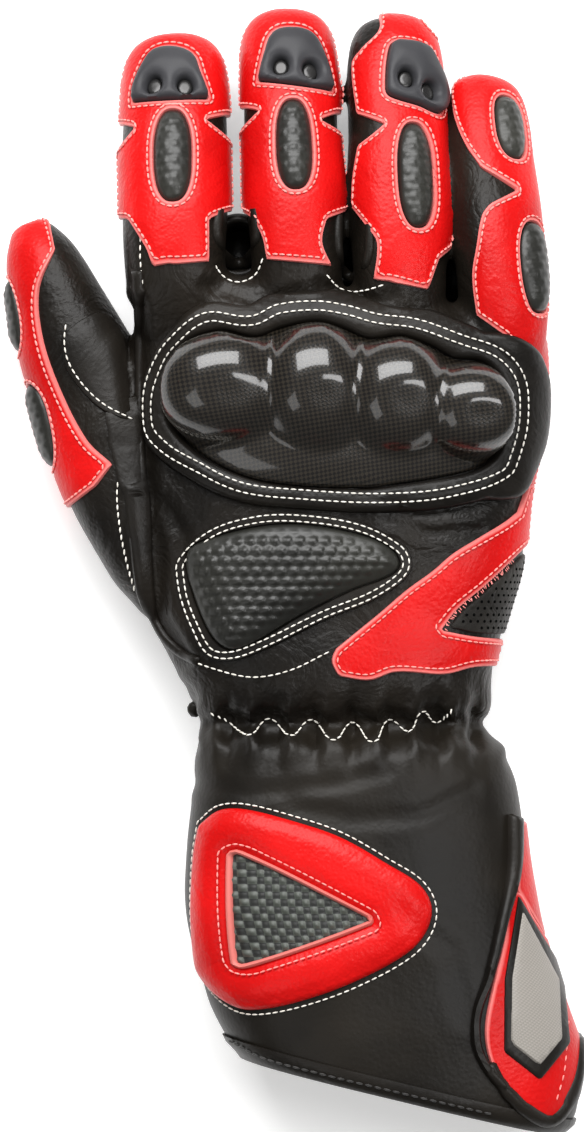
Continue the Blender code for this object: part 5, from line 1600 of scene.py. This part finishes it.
# White thread: thick waxed thread in long even stitches, along the rows that the sections above put
# down and the seams of the black leather here.
SEAM_LINES = [
    [(-38, -17.6), (-30.2, -24.9), (-19.6, -29.1), (-10.4, -30.8), (-0.3, -28.8), (9.5, -24.1)],
    [(-22.4, 85.1), (-18.8, 80.4), (-14.6, 79.0), (-10.1, 81.2), (-8.4, 84.8)],
    [(10.1, 80.4), (12.6, 77.8), (16.2, 76.4), (20.7, 76.7), (24.6, 77.8)],
    [(-47.0, 28.6), (-48.4, 20.7), (-47.6, 10.4), (-45.6, 0.3), (-43.7, -6.2)],
]
for seam in SEAM_LINES:
    white_rows.append(("hand", at_mm("hand", seam), 0.0003, False))
INDEX_SEAM = [(-41.8, 93), (-42.0, 86), (-41.4, 79)]
white_rows.append(("index", at_mm("index", INDEX_SEAM), 0.0003, False))
sew("white_stitching", white_rows, WHITE_THREAD, pitch=0.0021, long=0.0018, wide=0.0005)

# The stage: a pale matt floor that the glove lies on, one large soft window light from beyond the
# fingers with two weak ones beside it, and the camera straight above.
FLOOR = [(-3, -3, 0), (3, -3, 0), (3, 3, 0), (-3, 3, 0)]
floor = placed("floor", mesh_of("floor", FLOOR, [(0, 1, 2, 3)]))
floor.data.materials.append(plain_material("pale floor", (0.93, 0.93, 0.93), 0.9,
                                           Emission_Color=(1, 1, 1, 1), Emission_Strength=0.35))


def soft_light(name, place, power, width, height):
    """A rectangle of even light that faces the glove."""
    lamp = bpy.data.lights.new(name, "AREA")
    lamp.shape = "RECTANGLE"
    lamp.size, lamp.size_y, lamp.energy = width, height, power
    made = placed(name, lamp)
    made.location = place
    made.rotation_euler = (-Vector(place)).to_track_quat("-Z", "Y").to_euler()


soft_light("window_light", (-0.10, 0.95, 1.0), 34, 1.3, 0.8)
soft_light("side_light", (0.75, 0.1, 1.3), 8, 0.25, 1.0)
soft_light("fill_light", (-0.8, -0.5, 1.3), 3, 0.7, 0.7)
sky = bpy.data.worlds.new("studio")
sky.use_nodes = True
glow = sky.node_tree.nodes["Background"]
glow.inputs["Color"].default_value = (1, 0.98, 0.95, 1)
around = node(sky.node_tree, "ShaderNodeTexCoord")
height = node(sky.node_tree, "ShaderNodeSeparateXYZ")
fade = node(sky.node_tree, "ShaderNodeMapRange", To_Min=0.20, To_Max=0.35)
sky.node_tree.links.new(around.outputs["Generated"], height.inputs["Vector"])
sky.node_tree.links.new(height.outputs["Z"], fade.inputs["Value"])
sky.node_tree.links.new(fade.outputs["Result"], glow.inputs["Strength"])
bpy.context.scene.world = sky
bpy.context.scene.view_settings.view_transform = "Standard"
# the camera's height, the glove's middle height, and the length of floor in view there
CAMERA_HEIGHT, MIDDLE_HEIGHT, VIEW_LENGTH = 2.2, 0.02, 0.31696
lens = bpy.data.cameras.new("camera")
lens.sensor_width = 36
lens.lens = lens.sensor_width * (CAMERA_HEIGHT - MIDDLE_HEIGHT) / VIEW_LENGTH
camera = placed("camera", lens)
camera.location = (0, 0, CAMERA_HEIGHT)
bpy.context.scene.camera = camera
